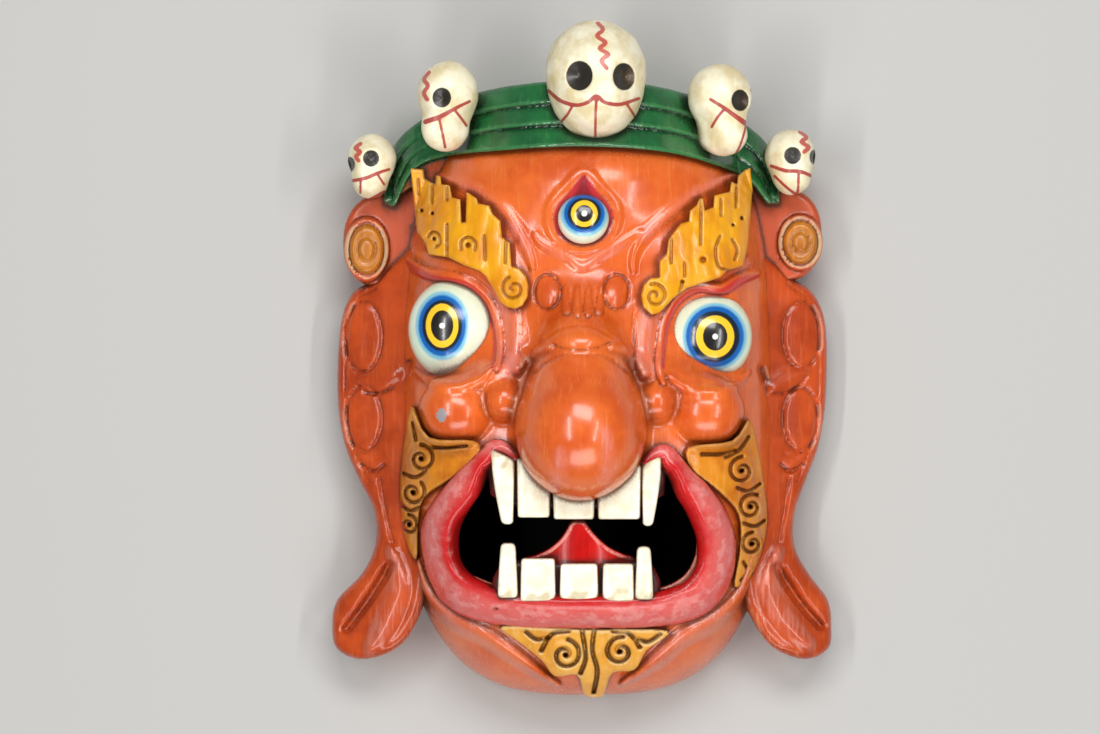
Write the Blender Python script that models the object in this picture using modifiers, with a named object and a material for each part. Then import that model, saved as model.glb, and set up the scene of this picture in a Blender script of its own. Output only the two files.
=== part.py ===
"""Carved wooden dance mask: a wrathful face under a crown of five skulls.

The mask is one block of wood. It lies on its back: the flat rim around the
hollow rests on z = 0, the face looks up along +Z, the crown points along +Y
and +X is the right-hand side of the picture.

The free form keeps its proportions as shares of the mask's own height, where
one share is a four-hundredth of it. Walls and cuts are lengths of their own.
"""

import math

import bmesh
import bpy
import numpy as np
from mathutils import Matrix, Vector

# Driving dimensions, in metres
MASK_HEIGHT = 0.400
SIDE_WALL = 0.015
FACE_WALL = 0.018
CROWN_WALL = 0.034
CHIN_WALL = 0.022

# Resolution of the carving, in metres, and the most triangles it may take
BLOCK_VOXEL = 0.0022
RELIEF_VOXEL = 0.0019
PLATE_VOXEL = 0.0028
TRIANGLE_LIMIT = 9800
SOFTENING_STEPS = 2
WELD_DISTANCE = 0.00005

SHARES = 400.0
SHARE = MASK_HEIGHT / SHARES

# The head's dome, in shares: outline a superellipse, depth falling to the rim
HEAD_CENTRE = (3.0, -17.5)
HEAD_HALF = (113.0, 182.0)
HEAD_POWER = 3.0
DOME_DEPTH = 102.0
DOME_SHOULDER = 3.4
DOME_POWER = 2.3
HOLLOW_SHOULDER = 6.0
HOLLOW_POWER = 2.5
BACK_SINK = 8.0
SAW_SIZE = (800.0, 800.0, 80.0)
HOLLOW_OVERRUN = 16.0

# Broad swellings and dents of the skin: centre, radii and height, in shares
FOREHEAD = ((1.0, 92.0), (88.0, 46.0), 8.0)
BROW_TOP = ((3.0, 128.0), (108.0, 56.0), 20.0)
MUZZLE = ((0.0, -108.0), (100.0, 66.0), 13.0)
TEMPLE_DENTS = (((-58.0, 30.0), (34.0, 34.0), -9.0), ((60.0, 26.0), (34.0, 34.0), -9.0))
NOSE_ROOT = ((0.0, 22.0), (34.0, 40.0), 10.0)

# Nose, cheeks and eyes: centre above the rim and radii, in shares
NOSE_BULB = ((-1.0, -39.0, 110.0), (38.5, 42.0, 48.0))
NOSE_BRIDGE = ((-1.0, -4.0, 102.0), (27.0, 38.0, 34.0))
NOSE_WINGS = (((-46.0, -22.0, 99.0), (11.5, 12.5, 16.0)), ((44.0, -23.0, 99.0), (11.5, 12.5, 16.0)))
CHEEK_BALLS = (((-74.0, -28.0, 90.0), (22.0, 20.5, 21.0)), ((72.5, -28.5, 90.0), (23.0, 21.0, 21.0)))
CHEEK_FOLDS = (
    ((-54.0, -9.5, 92.0), (24.0, 10.0, 15.0), 19.0),
    ((54.0, -10.0, 92.0), (24.0, 10.0, 15.0), -19.0),
)
EYEBALLS = (((-75.5, 19.3, 74.0), (27.0, 30.0, 24.0)), ((72.8, 15.0, 74.0), (27.5, 27.5, 24.0)))
THIRD_EYE = ((0.6, 84.0, 103.0), (15.0, 15.0, 12.0))
SCROLL_DISCS = ((-18.0, 41.0), (18.0, 41.0))
SCROLL_DISC_RADII = (9.5, 12.5, 6.0)

# Raised lines that lie on the skin: points, radius and lift above the skin
LEFT_BROW_RIDGE = ((-93, 113), (-75, 108), (-58, 97), (-44, 84), (-33, 69), (-20, 57), (1, 51))
RIGHT_BROW_RIDGE = ((95, 113), (77, 106), (58, 89), (44, 72), (32, 60), (19, 54), (1, 51))
RIDGE_RADIUS = 4.0
RIDGE_LIFT = 0.5
LEFT_UPPER_LID = ((-104, 47), (-92, 51), (-75, 52), (-60, 45), (-50, 32), (-46, 14), (-51, -4))
RIGHT_UPPER_LID = ((104, 46), (90, 44), (73, 44), (59, 36), (49, 22), (45, 6), (51, -8))
LID_RADIUS = 5.0
LID_LIFT = 2.5
THIRD_EYE_RIM = ((1, 110), (12, 101), (19, 88), (15, 72), (1, 66), (-14, 72), (-18, 88), (-11, 101), (1, 110))
THIRD_EYE_RIM_RADIUS = 3.2
THIRD_EYE_RIM_LIFT = 1.0
JAW_ROLLS = (
    ((-97, -124), (-90, -142), (-70, -156), (-46, -171), (-22, -186)),
    ((101, -120), (92, -142), (72, -158), (52, -172), (32, -186)),
)
JAW_ROLL_RADII = (3.0, 6.0, 7.5, 7.0, 3.5)

# Wrinkles over the nose's bridge: place along it, half width, foot and top
NOSE_WRINKLES = ((27.0, 26.0, 92.0, 119.0), (14.0, 33.0, 90.0, 127.0))
NOSE_WRINKLE_RADIUS = 4.5
NOSE_WRINKLE_SAG = 6.0
NOSE_WRINKLE_TURNS = (-80, -60, -40, -20, 0, 20, 40, 60, 80)

# The mouth: middle line of the lips with their half width, and the hole
LIP_LINE = (
    (-51, -52, 6), (-61, -66, 9), (-75, -82, 11), (-83, -101, 13), (-81, -122, 13), (-68, -137, 13),
    (-36, -144, 13), (2, -146, 13), (40, -146, 13), (66, -141, 13), (79, -124, 12), (79, -102, 12),
    (69, -83, 11), (56, -68, 9), (48, -54, 6),
)
LIP_LIFT = 1.0
MOUTH_HOLE = (
    (-51, -60), (-61, -79), (-73, -95), (-75, -110), (-69, -121), (-58, -125), (-45, -128), (-20, -131),
    (15, -131), (42, -129), (53, -127), (62, -122), (67, -110), (65, -95), (57, -80), (46, -62), (-2, -70),
)
MOUTH_CUT_SPARE = 40.0

# Teeth: left and right edge, gum line and biting edge; a fang narrows to its tip
UPPER_TEETH = (
    (-53, -40, -50, -95, True), (-38, -19, -56, -91, False), (-17, 7, -66, -92, False),
    (9, 34, -60, -92, False), (35, 46, -52, -96, True),
)
LOWER_TEETH = (
    (-49, -38, -142, -106, True), (-36, -16, -142, -115, False), (-13, 9, -142, -118, False),
    (12, 30, -142, -118, False), (31, 41, -142, -108, True),
)
UPPER_TOOTH_FRONT = 108.0
LOWER_TOOTH_FRONT = 107.0
TOOTH_DEPTH = 24.0
TOOTH_TAPER = 0.08
FANG_TAPER = 0.62
TOOTH_CURVE = 1.4
TOOTH_TIP_FALL = 0.4
FANG_TIP_FALL = 1.2
UPPER_GUM = ((-52, -66), (-30, -72), (-4, -74), (24, -73), (45, -66))
LOWER_GUM = ((-48, -137), (-24, -138), (-3, -139), (20, -139), (40, -137))
GUM_RADIUS = 8.5
GUM_HEIGHT = 88.0
TONGUE = ((-28, -146), (26, -146), (25, -118), (10, -109), (-3, -92), (-14, -108), (-29, -118))
TONGUE_SPAN = (64.0, 95.0)

# Flat ornaments that lie on the skin, each an outline in shares
LEFT_FLAME_BROW = (
    (-101, 116), (-91, 112), (-78, 107), (-66, 101), (-56, 93), (-47, 84), (-41, 72), (-37, 58), (-31, 46),
    (-37, 34), (-48, 36), (-57, 47), (-70, 57), (-86, 63), (-95, 66), (-100, 84),
)
RIGHT_FLAME_BROW = (
    (101, 116), (91, 110), (82, 100), (73, 92), (63, 83), (53, 76), (45, 63), (39, 52), (35, 40),
    (43, 31), (54, 35), (62, 46), (75, 52), (90, 57), (99, 70), (101, 94),
)
LEFT_CHEEK_ORNAMENT = (
    (-101, -26), (-90, -44), (-64, -46), (-60, -54), (-76, -68), (-93, -80), (-97, -96), (-98, -117),
    (-105, -108), (-109, -88), (-107, -60),
)
RIGHT_CHEEK_ORNAMENT = (
    (99, -34), (88, -46), (62, -50), (64, -63), (80, -76), (92, -90), (93, -110), (90, -133),
    (102, -124), (110, -98), (107, -66),
)
CHIN_ORNAMENT = (
    (-47, -155), (2, -157), (50, -158), (38, -170), (31, -182), (18, -184), (13, -198), (7, -200),
    (1, -197), (-3, -185), (-16, -186), (-24, -176), (-36, -166),
)
BROW_LIFT = 10.0
ORNAMENT_LIFT = 6.0
PLATE_SINK = 12.0

# The crown: three overlapping boards, each an arch that leans back
CROWN_INNER = (
    (-111, 92), (-101, 112), (-84, 121), (-49, 124), (0, 126), (49, 123), (82, 115), (99, 107), (110, 94),
)
CROWN_OUTER = (
    (-117, 94), (-116, 121), (-99, 142), (-60, 160), (8, 166), (64, 158), (101, 139), (115, 121), (117, 94),
)
CROWN_BOARDS = ((0.0, 0.40), (0.34, 0.72), (0.66, 1.0))
CROWN_PROUD = 8.0
CROWN_LEAST = 56.0
CROWN_LEAN = 0.78
CROWN_STEP = 6.0
CROWN_CORE_FEET = ((112, 86), (-108, 84))
CROWN_CORE_INSET = 4.0

# Skulls: centre above the rim, radii, turn to the side, jaw drop, in shares
SKULLS = (
    ("crown", (8.0, 170.0, 96.0), (29.5, 30.5, 30.0), 0.0, 19.0, 0.82),
    ("inner_left", (-79.0, 158.0, 80.0), (17.0, 19.5, 18.5), -50.0, 18.0, 0.66),
    ("inner_right", (81.0, 156.0, 80.0), (18.0, 19.5, 19.5), 50.0, 19.0, 0.66),
    ("outer_left", (-124.5, 120.0, 54.0), (14.0, 15.0, 15.5), -24.0, 13.0, 0.76),
    ("outer_right", (123.5, 122.5, 54.0), (14.5, 15.5, 16.0), 28.0, 13.0, 0.76),
)
JAW_FORWARD = 0.12
JAW_TALL = 0.66
JAW_DEEP = 0.86
POST_WIDTH = 0.78
POST_LEAN = 9.0
SOCKET_SPREAD = 24.0
SOCKET_TILT = 6.0
SOCKET_SIZE = 0.44
SOCKET_DEPTH = 0.45

# Ears: outline, height above the rim at root and edge, curl of the lobe, pads and bosses
LEFT_EAR = (
    (-96, 62), (-110, 60), (-124, 49), (-137, 41), (-144, 22), (-146, -18), (-142, -48), (-133, -70),
    (-124, -88), (-123, -108), (-131, -126), (-146, -142), (-150, -158), (-146, -171), (-132, -177),
    (-113, -172), (-100, -158), (-94, -120), (-92, -40),
)
RIGHT_EAR = (
    (98, 62), (112, 60), (126, 50), (139, 40), (146, 20), (146, -20), (142, -48), (134, -70), (127, -90),
    (127, -110), (136, -127), (147, -142), (150, -158), (147, -171), (133, -177), (114, -170),
    (102, -154), (96, -120), (94, -40),
)
EAR_RISE = (46.0, 26.0)
EAR_SLOPE_START = 100.0
EAR_SLOPE_RUN = 50.0
EAR_UNDERCUT = 20.0
EAR_UNDERCUT_START = 114.0
EAR_UNDERCUT_RUN = 22.0
LOBE_CURL = 8.0
LOBE_CURL_START = -120.0
LOBE_CURL_RUN = 50.0
EAR_PADS = (((-130.0, 15.0), (11.5, 21.0)), ((-129.5, -33.5), (11.0, 19.5)),
            ((130.5, 16.0), (11.5, 20.0)), ((130.0, -34.0), (11.0, 19.0)))
LOBE_SLOTS = (((-141, -157), (-128, -142), (-116, -124)), ((142, -155), (129, -140), (116, -122)))
EAR_BOSSES = (((-128.0, 67.0), (13.5, 19.5)), ((130.0, 71.0), (13.5, 17.0)))
BOSS_RISE = 42.0
BOSS_DEPTH = 9.0
BOSS_PROUD = 3.0
BOSS_BLOCKS = (
    ((-92, 102), (-132, 97), (-141, 84), (-141, 58), (-132, 47), (-94, 40)),
    ((94, 104), (134, 101), (142, 88), (142, 62), (134, 51), (96, 40)),
)
BOSS_BLOCK_RISE = 36.0

# Lines cut into the skin and the ornaments: half width and depth, in shares
BROW_CUTS = (
    ((-92, 108), (-90, 92)), ((-76, 104), (-75, 88)), ((-62, 96), (-61, 80)), ((-50, 84), (-52, 66)),
    ((-87, 80), (-85, 68)), ((-68, 74), (-66, 60)),
    ((92, 108), (90, 92)), ((78, 98), (77, 82)), ((66, 90), (66, 62)), ((54, 76), (56, 62)),
    ((88, 78), (86, 66)), ((72, 62), (70, 56)),
)
SPIRALS = (
    ((-42.0, 43.0), 9.0, 1.0), ((44.0, 41.0), 9.0, -1.0),
    ((-96.0, -57.0), 7.0, 1.0), ((-100.0, -77.0), 7.5, 1.0), ((-103.0, -97.0), 6.5, 1.0),
    ((95.0, -64.0), 7.5, -1.0), ((100.0, -85.0), 7.5, -1.0), ((101.0, -107.0), 7.0, -1.0),
    ((-10.0, -172.0), 9.0, 1.0), ((22.0, -171.0), 9.0, -1.0),
)
FINE_CUT = (1.9, 3.0)
SEAM_CUT = (2.6, 3.6)
TOOTH_CUT = (1.8, 7.0)
CUT_FLOOR = 15.0
CUT_FACING = 2.0
SPIRAL_TURN = 540.0
SPIRAL_NARROWING = 0.8
SPIRAL_STEPS = 22
PAD_STEPS = 24
TOOTH_CUT_TOP = 114.0
EAR_SEAMS = (
    ((-102, 0), (-112, -18), (-114, -60), (-112, -110)),
    ((106, -4), (117, -28), (119, -60), (117, -110)),
)
CHIN_STRANDS = (((1, -160), (3, -176), (2, -194)), ((11, -160), (10, -176), (12, -194)))

# Finish
PAINT_COLOUR = (0.64, 0.12, 0.035, 1.0)
PAINT_ROUGHNESS = 0.38


def clear_scene():
    """Remove every object that is there before the mask is built."""
    for old in list(bpy.data.objects):
        bpy.data.objects.remove(old, do_unlink=True)


def bump(x, y, swelling):
    """Height that one broad swelling adds at a point, smooth to its edge."""
    (cx, cy), (rx, ry), height = swelling
    reach = ((x - cx) / rx) ** 2 + ((y - cy) / ry) ** 2
    return height * max(0.0, 1.0 - reach) ** 2


def head_reach(x, y, inset=0.0):
    """Share of the way from the head's centre to its outline."""
    across = abs(x - HEAD_CENTRE[0]) / (HEAD_HALF[0] - inset)
    along = abs(y - HEAD_CENTRE[1]) / (HEAD_HALF[1] - inset)
    return (across ** HEAD_POWER + along ** HEAD_POWER) ** (1.0 / HEAD_POWER)


def skin_height(x, y):
    """Height of the skin above the rim, in shares, without nose and lips."""
    reach = min(head_reach(x, y), 1.0)
    dome = DOME_DEPTH * (1.0 - reach ** DOME_SHOULDER) ** (1.0 / DOME_POWER)
    swellings = (FOREHEAD, BROW_TOP, MUZZLE, NOSE_ROOT) + TEMPLE_DENTS
    return dome + sum(bump(x, y, swelling) for swelling in swellings)


def new_object(name, bm):
    """Turn a bmesh into an object of the scene."""
    mesh = bpy.data.meshes.new(name)
    bmesh.ops.recalc_face_normals(bm, faces=bm.faces)
    bm.to_mesh(mesh)
    bm.free()
    made = bpy.data.objects.new(name, mesh)
    bpy.context.scene.collection.objects.link(made)
    return made


def ellipsoid(name, centre, radii, turn_z=0.0, turn_y=0.0, segments=40):
    """A ball stretched to three radii, turned and placed, in shares."""
    bm = bmesh.new()
    bmesh.ops.create_uvsphere(bm, u_segments=segments, v_segments=segments // 2, radius=1.0)
    shape = Matrix.Diagonal((*(r * SHARE for r in radii), 1.0))
    turn = Matrix.Rotation(math.radians(turn_z), 4, "Z") @ Matrix.Rotation(math.radians(turn_y), 4, "Y")
    place = Matrix.Translation(Vector(centre) * SHARE)
    bmesh.ops.transform(bm, matrix=place @ turn @ shape, verts=bm.verts)
    return new_object(name, bm)


def curve_to_mesh(name, curve):
    """Make a closed mesh object of a curve and remove the curve."""
    guide = bpy.data.objects.new(name + "_curve", curve)
    bpy.context.scene.collection.objects.link(guide)
    bpy.context.view_layer.update()
    evaluated = guide.evaluated_get(bpy.context.evaluated_depsgraph_get())
    mesh = bpy.data.meshes.new_from_object(evaluated)
    bm = bmesh.new()
    bm.from_mesh(mesh)
    bmesh.ops.remove_doubles(bm, verts=bm.verts, dist=WELD_DISTANCE)
    bpy.data.objects.remove(guide, do_unlink=True)
    bpy.data.meshes.remove(mesh)
    return new_object(name, bm)


def tube(name, points, radii, lift=0.0, heights=None):
    """A round bar along points on the skin, with its own radius at each."""
    curve = bpy.data.curves.new(name, "CURVE")
    curve.dimensions = "3D"
    curve.bevel_depth = SHARE
    curve.bevel_resolution = 3
    curve.use_fill_caps = True
    curve.resolution_u = 6
    spline = curve.splines.new("BEZIER")
    spline.bezier_points.add(len(points) - 1)
    for index, (knot, (x, y)) in enumerate(zip(spline.bezier_points, points)):
        height = heights[index] if heights else skin_height(x, y)
        knot.co = Vector((x, y, height + lift)) * SHARE
        knot.radius = radii[index]
        knot.handle_left_type = "AUTO"
        knot.handle_right_type = "AUTO"
    return curve_to_mesh(name, curve)


def flat_plate(name, outline, thickness, smooth=True):
    """A flat plate from z = 0 up to its thickness, with an even fine mesh."""
    curve = bpy.data.curves.new(name, "CURVE")
    curve.dimensions = "2D"
    curve.fill_mode = "BOTH"
    curve.extrude = 0.5 * thickness * SHARE
    curve.resolution_u = 5 if smooth else 1
    spline = curve.splines.new("BEZIER")
    spline.bezier_points.add(len(outline) - 1)
    for knot, (x, y) in zip(spline.bezier_points, outline):
        knot.co = Vector((x, y, 0.0)) * SHARE
        knot.handle_left_type = "AUTO" if smooth else "VECTOR"
        knot.handle_right_type = "AUTO" if smooth else "VECTOR"
    spline.use_cyclic_u = True
    plate = curve_to_mesh(name, curve)
    plate.data.transform(Matrix.Translation((0.0, 0.0, 0.5 * thickness * SHARE)))
    remesh(plate, PLATE_VOXEL)
    return plate


def remesh(target, voxel):
    """Give an object one even skin, which also fuses what overlaps in it."""
    modifier = target.modifiers.new("Even skin", "REMESH")
    modifier.mode = "VOXEL"
    modifier.voxel_size = voxel
    modifier.adaptivity = 0.0
    apply_modifiers(target)


def apply_modifiers(target):
    """Replace an object's mesh by its evaluated one."""
    bpy.context.view_layer.update()
    evaluated = target.evaluated_get(bpy.context.evaluated_depsgraph_get())
    mesh = bpy.data.meshes.new_from_object(evaluated)
    old = target.data
    target.modifiers.clear()
    target.data = mesh
    bpy.data.meshes.remove(old)


def join(name, pieces):
    """Put several objects' meshes into the first one, each still closed."""
    bm = bmesh.new()
    for piece in pieces:
        bm.from_mesh(piece.data)
        bpy.data.objects.remove(piece, do_unlink=True)
    return new_object(name, bm)


def move_vertices(target, law):
    """Move each vertex by a law from shares to shares."""
    for vertex in target.data.vertices:
        x, y, z = vertex.co / SHARE
        vertex.co = Vector(law(x, y, z)) * SHARE


def draped_plate(name, outline, lift):
    """An outlined plate that follows the skin and stands proud by its lift."""
    plate = flat_plate(name, outline, lift + PLATE_SINK)
    move_vertices(plate, lambda x, y, z: (x, y, z - PLATE_SINK + skin_height(x, y)))
    return plate


def head_mass():
    """The head's domed block: a ball whose rings follow outline and skin."""
    bm = bmesh.new()
    bmesh.ops.create_uvsphere(bm, u_segments=128, v_segments=96, radius=1.0)
    for vertex in bm.verts:
        direction = vertex.co.normalized()
        spread = math.hypot(direction.x, direction.y)
        x, y = dome_point(direction, spread, 0.0)
        if direction.z >= 0.0:
            z = skin_height(x, y)
        else:
            z = BACK_SINK * direction.z
        vertex.co = Vector((x, y, z)) * SHARE
    return new_object("head_mass", bm)


def dome_point(direction, spread, inset):
    """Place of a ball's point inside the head's outline, in shares."""
    if spread < 1e-6:
        return HEAD_CENTRE
    across = abs(direction.x / spread) / (HEAD_HALF[0] - inset)
    along = abs(direction.y / spread) / (HEAD_HALF[1] - inset)
    edge = (across ** HEAD_POWER + along ** HEAD_POWER) ** (-1.0 / HEAD_POWER)
    return (HEAD_CENTRE[0] + direction.x * edge, HEAD_CENTRE[1] + direction.y * edge)


def face_forms():
    """The nose's bridge, cheeks, eyeballs and the rolls of skin around them."""
    forms = [ellipsoid("nose_bridge", *NOSE_BRIDGE)]
    for centre, radii in NOSE_WINGS + CHEEK_BALLS + EYEBALLS + (THIRD_EYE,):
        forms.append(ellipsoid("round_form", centre, radii))
    for centre, radii, turn in CHEEK_FOLDS:
        forms.append(ellipsoid("cheek_fold", centre, radii, turn_z=turn))
    for x, y in SCROLL_DISCS:
        forms.append(ellipsoid("scroll_disc", (x, y, skin_height(x, y)), SCROLL_DISC_RADII))
    for line in (LEFT_BROW_RIDGE, RIGHT_BROW_RIDGE):
        forms.append(tube("brow_ridge", line, [RIDGE_RADIUS] * len(line), lift=RIDGE_LIFT))
    for line in (LEFT_UPPER_LID, RIGHT_UPPER_LID):
        forms.append(tube("upper_lid", line, [LID_RADIUS] * len(line), lift=LID_LIFT))
    rim_radii = [THIRD_EYE_RIM_RADIUS] * len(THIRD_EYE_RIM)
    forms.append(tube("third_eye_rim", THIRD_EYE_RIM, rim_radii, lift=THIRD_EYE_RIM_LIFT))
    for sizes in NOSE_WRINKLES:
        forms.append(nose_wrinkle(*sizes))
    for line in JAW_ROLLS:
        forms.append(tube("jaw_roll", line, JAW_ROLL_RADII))
    return forms


def nose_wrinkle(along, half_width, foot, top):
    """A fold of skin that arches over the nose's bridge."""
    turns = [math.radians(step) for step in NOSE_WRINKLE_TURNS]
    line = [(half_width * math.sin(turn), along - NOSE_WRINKLE_SAG * math.cos(turn)) for turn in turns]
    heights = [foot + (top - foot) * math.cos(turn) for turn in turns]
    return tube("nose_wrinkle", line, [NOSE_WRINKLE_RADIUS] * len(line), heights=heights)


def lips():
    """The lips: a thick bar around the mouth, thin where it meets the nose."""
    points = [(x, y) for x, y, _ in LIP_LINE]
    return tube("lips", points, [half for _, _, half in LIP_LINE], lift=LIP_LIFT)


def ornaments():
    """Flame brows, cheek ornaments and chin ornament."""
    raised = []
    for outline in (LEFT_FLAME_BROW, RIGHT_FLAME_BROW):
        raised.append(draped_plate("flame_brow", outline, BROW_LIFT))
    for outline in (LEFT_CHEEK_ORNAMENT, RIGHT_CHEEK_ORNAMENT, CHIN_ORNAMENT):
        raised.append(draped_plate("ornament", outline, ORNAMENT_LIFT))
    return raised


def between(inner, outer, share):
    """A line part of the way from the crown's inner arch to its outer arch."""
    return [(a[0] + share * (b[0] - a[0]), a[1] + share * (b[1] - a[1])) for a, b in zip(inner, outer)]


def crown_arch_height(x, share):
    """Height up the mask of a crown line at x, between inner and outer arch."""
    line = between(CROWN_INNER, CROWN_OUTER, share)
    return float(np.interp(x, [p[0] for p in line], [p[1] for p in line]))


def crown_front(x, y, board):
    """Height above the rim of one board's front, which leans back."""
    foot = crown_arch_height(x, 0.0)
    base = max(skin_height(x, foot) + CROWN_PROUD, CROWN_LEAST)
    lower_edge = crown_arch_height(x, CROWN_BOARDS[board][0])
    return base - CROWN_STEP * board - CROWN_LEAN * max(0.0, y - lower_edge)


def crown_boards():
    """The crown's three boards, each overlapping the one below it."""
    boards = []
    thickness = CROWN_LEAST
    for index, (low, high) in enumerate(CROWN_BOARDS):
        lower_edge = between(CROWN_INNER, CROWN_OUTER, low)
        upper_edge = between(CROWN_INNER, CROWN_OUTER, high)
        board = flat_plate("crown_board", lower_edge + upper_edge[::-1], thickness)

        def law(x, y, z, index=index):
            """Bring the board's front to its height, its back below the rim."""
            front = crown_front(x, y, index)
            return x, y, -BACK_SINK + (front + BACK_SINK) * z / thickness

        move_vertices(board, law)
        boards.append(board)
    boards.append(crown_core())
    return boards


def crown_core():
    """The wood that fills the crown between its boards and the head."""
    core = flat_plate("crown_core", list(CROWN_OUTER) + list(CROWN_CORE_FEET), CROWN_LEAST, smooth=False)

    def law(x, y, z):
        """Keep the core's front a little under the boards."""
        front = crown_front(x, y, 0) - CROWN_CORE_INSET
        front = min(front, CROWN_LEAST - CROWN_CORE_INSET)
        return x, y, -BACK_SINK + (front + BACK_SINK) * z / CROWN_LEAST

    move_vertices(core, law)
    return core


def skull(name, centre, radii, turn, drop, jaw):
    """A skull: round cranium, narrower jaw and the wood behind it."""
    cranium = ellipsoid(name, centre, radii, turn_y=turn)
    turned = Matrix.Rotation(math.radians(turn), 3, "Y")
    jaw_centre = Vector(centre) + turned @ Vector((0.0, -drop, JAW_FORWARD * radii[2]))
    jaw_radii = (radii[0] * jaw, radii[1] * JAW_TALL, radii[2] * JAW_DEEP)
    jaw_block = ellipsoid(name + "_jaw", jaw_centre, jaw_radii, turn_y=turn)
    post = skull_post(name, centre, radii)
    return [cranium, jaw_block, post]


def skull_post(name, centre, radii):
    """The wood behind a skull, from its middle down past the rim."""
    bm = bmesh.new()
    width = POST_WIDTH * radii[0] * SHARE
    depth = (centre[2] + BACK_SINK) * SHARE
    bmesh.ops.create_cone(bm, cap_ends=True, segments=32, radius1=width, radius2=width, depth=depth)
    inward = -POST_LEAN * Vector((centre[0], centre[1])).normalized()
    for vertex in bm.verts:
        lean = 0.5 - vertex.co.z / depth
        vertex.co.x += lean * inward.x * SHARE
        vertex.co.y += lean * inward.y * SHARE
    middle = Vector((centre[0], centre[1], 0.0)) * SHARE
    middle.z = 0.5 * depth - BACK_SINK * SHARE
    bmesh.ops.translate(bm, verts=bm.verts, vec=middle)
    return new_object(name + "_post", bm)


def ears():
    """Both ears with their lobes and the bosses above."""
    forms = []
    for name, outline in (("left_ear", LEFT_EAR), ("right_ear", RIGHT_EAR)):
        ear = flat_plate(name, outline, EAR_RISE[0])
        move_vertices(ear, ear_law)
        forms.append(ear)
    for (cx, cy), (rx, ry) in EAR_BOSSES:
        forms.append(ellipsoid("boss", (cx, cy, BOSS_RISE + BOSS_PROUD - BOSS_DEPTH), (rx, ry, BOSS_DEPTH)))
    for outline in BOSS_BLOCKS:
        block = flat_plate("boss_block", outline, BOSS_BLOCK_RISE + BACK_SINK)
        block.data.transform(Matrix.Translation((0.0, 0.0, -BACK_SINK * SHARE)))
        forms.append(block)
    return forms


def ear_height(x):
    """Height of the ear's front above the rim, falling to its outer edge."""
    share = (abs(x) - EAR_SLOPE_START) / EAR_SLOPE_RUN
    return EAR_RISE[0] + (EAR_RISE[1] - EAR_RISE[0]) * share


def ear_law(x, y, z):
    """Slope the ear's front, curl its lobe forward and hollow its back."""
    curl = LOBE_CURL * max(0.0, min(1.0, (LOBE_CURL_START - y) / LOBE_CURL_RUN))
    front = ear_height(x) + curl
    under = max(0.0, min(1.0, (abs(x) - EAR_UNDERCUT_START) / EAR_UNDERCUT_RUN))
    back = -BACK_SINK + EAR_UNDERCUT * under
    return x, y, back + (front - back) * z / EAR_RISE[0]


def tooth(left, right, gum, bite, fang, front):
    """One tooth: a bar that narrows to its biting edge, or to a fang's tip."""
    bm = bmesh.new()
    bmesh.ops.create_cube(bm, size=1.0)
    bmesh.ops.subdivide_edges(bm, edges=bm.edges, cuts=3, use_grid_fill=True)
    middle = 0.5 * (left + right)
    width = right - left
    narrowing = FANG_TAPER if fang else TOOTH_TAPER
    tip_fall = FANG_TIP_FALL if fang else TOOTH_TIP_FALL
    for vertex in bm.verts:
        down = 0.5 - vertex.co.y
        y = gum + (bite - gum) * down
        x = middle + width * vertex.co.x * (1.0 - narrowing * down ** 2)
        fall = TOOTH_CURVE * (2.0 * vertex.co.x) ** 2 + tip_fall * down ** 2
        z = front - TOOTH_DEPTH * (0.5 - vertex.co.z) - fall
        vertex.co = Vector((x, y, z)) * SHARE
    return new_object("tooth", bm)


def mouth_parts():
    """Teeth, the gums that carry them, and the tongue."""
    parts = [tooth(*sizes, UPPER_TOOTH_FRONT) for sizes in UPPER_TEETH]
    parts += [tooth(*sizes, LOWER_TOOTH_FRONT) for sizes in LOWER_TEETH]
    for line in (UPPER_GUM, LOWER_GUM):
        parts.append(tube("gum", line, [GUM_RADIUS] * len(line), heights=[GUM_HEIGHT] * len(line)))
    low, high = TONGUE_SPAN
    tongue = flat_plate("tongue", TONGUE, high - low)
    move_vertices(tongue, lambda x, y, z: (x, y, low + z))
    parts.append(tongue)
    return parts


def hollow_cutter():
    """The hollow behind the face: it follows the skin at the wall's depth."""
    bm = bmesh.new()
    bmesh.ops.create_uvsphere(bm, u_segments=96, v_segments=64, radius=1.0)
    side = SIDE_WALL / SHARE
    crown = CROWN_WALL / SHARE
    chin = CHIN_WALL / SHARE
    wall = FACE_WALL / SHARE
    for vertex in bm.verts:
        direction = vertex.co.normalized()
        spread = math.hypot(direction.x, direction.y)
        x, y = dome_point(direction, spread, side)
        end = crown if y > HEAD_CENTRE[1] else chin
        y = HEAD_CENTRE[1] + (y - HEAD_CENTRE[1]) * (HEAD_HALF[1] - end) / (HEAD_HALF[1] - side)
        if direction.z >= 0.0:
            reach = min(spread, 1.0)
            z = (skin_height(x, y) - wall) * (1.0 - reach ** HOLLOW_SHOULDER) ** (1.0 / HOLLOW_POWER)
        else:
            z = HOLLOW_OVERRUN * direction.z
        vertex.co = Vector((x, y, z)) * SHARE
    return new_object("hollow_cutter", bm)


def mouth_cutter():
    """The mouth's hole, cut right through into the hollow."""
    low = DOME_DEPTH - FACE_WALL / SHARE - MOUTH_CUT_SPARE
    high = DOME_DEPTH + MOUTH_CUT_SPARE
    cutter = flat_plate("mouth_cutter", MOUTH_HOLE, high - low)
    move_vertices(cutter, lambda x, y, z: (x, y, low + z))
    return cutter


def cut(target, cutter, operation="DIFFERENCE"):
    """Cut one object by another with an exact Boolean."""
    modifier = target.modifiers.new("Cut", "BOOLEAN")
    modifier.operation = operation
    modifier.solver = "EXACT"
    modifier.object = cutter
    apply_modifiers(target)


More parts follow.
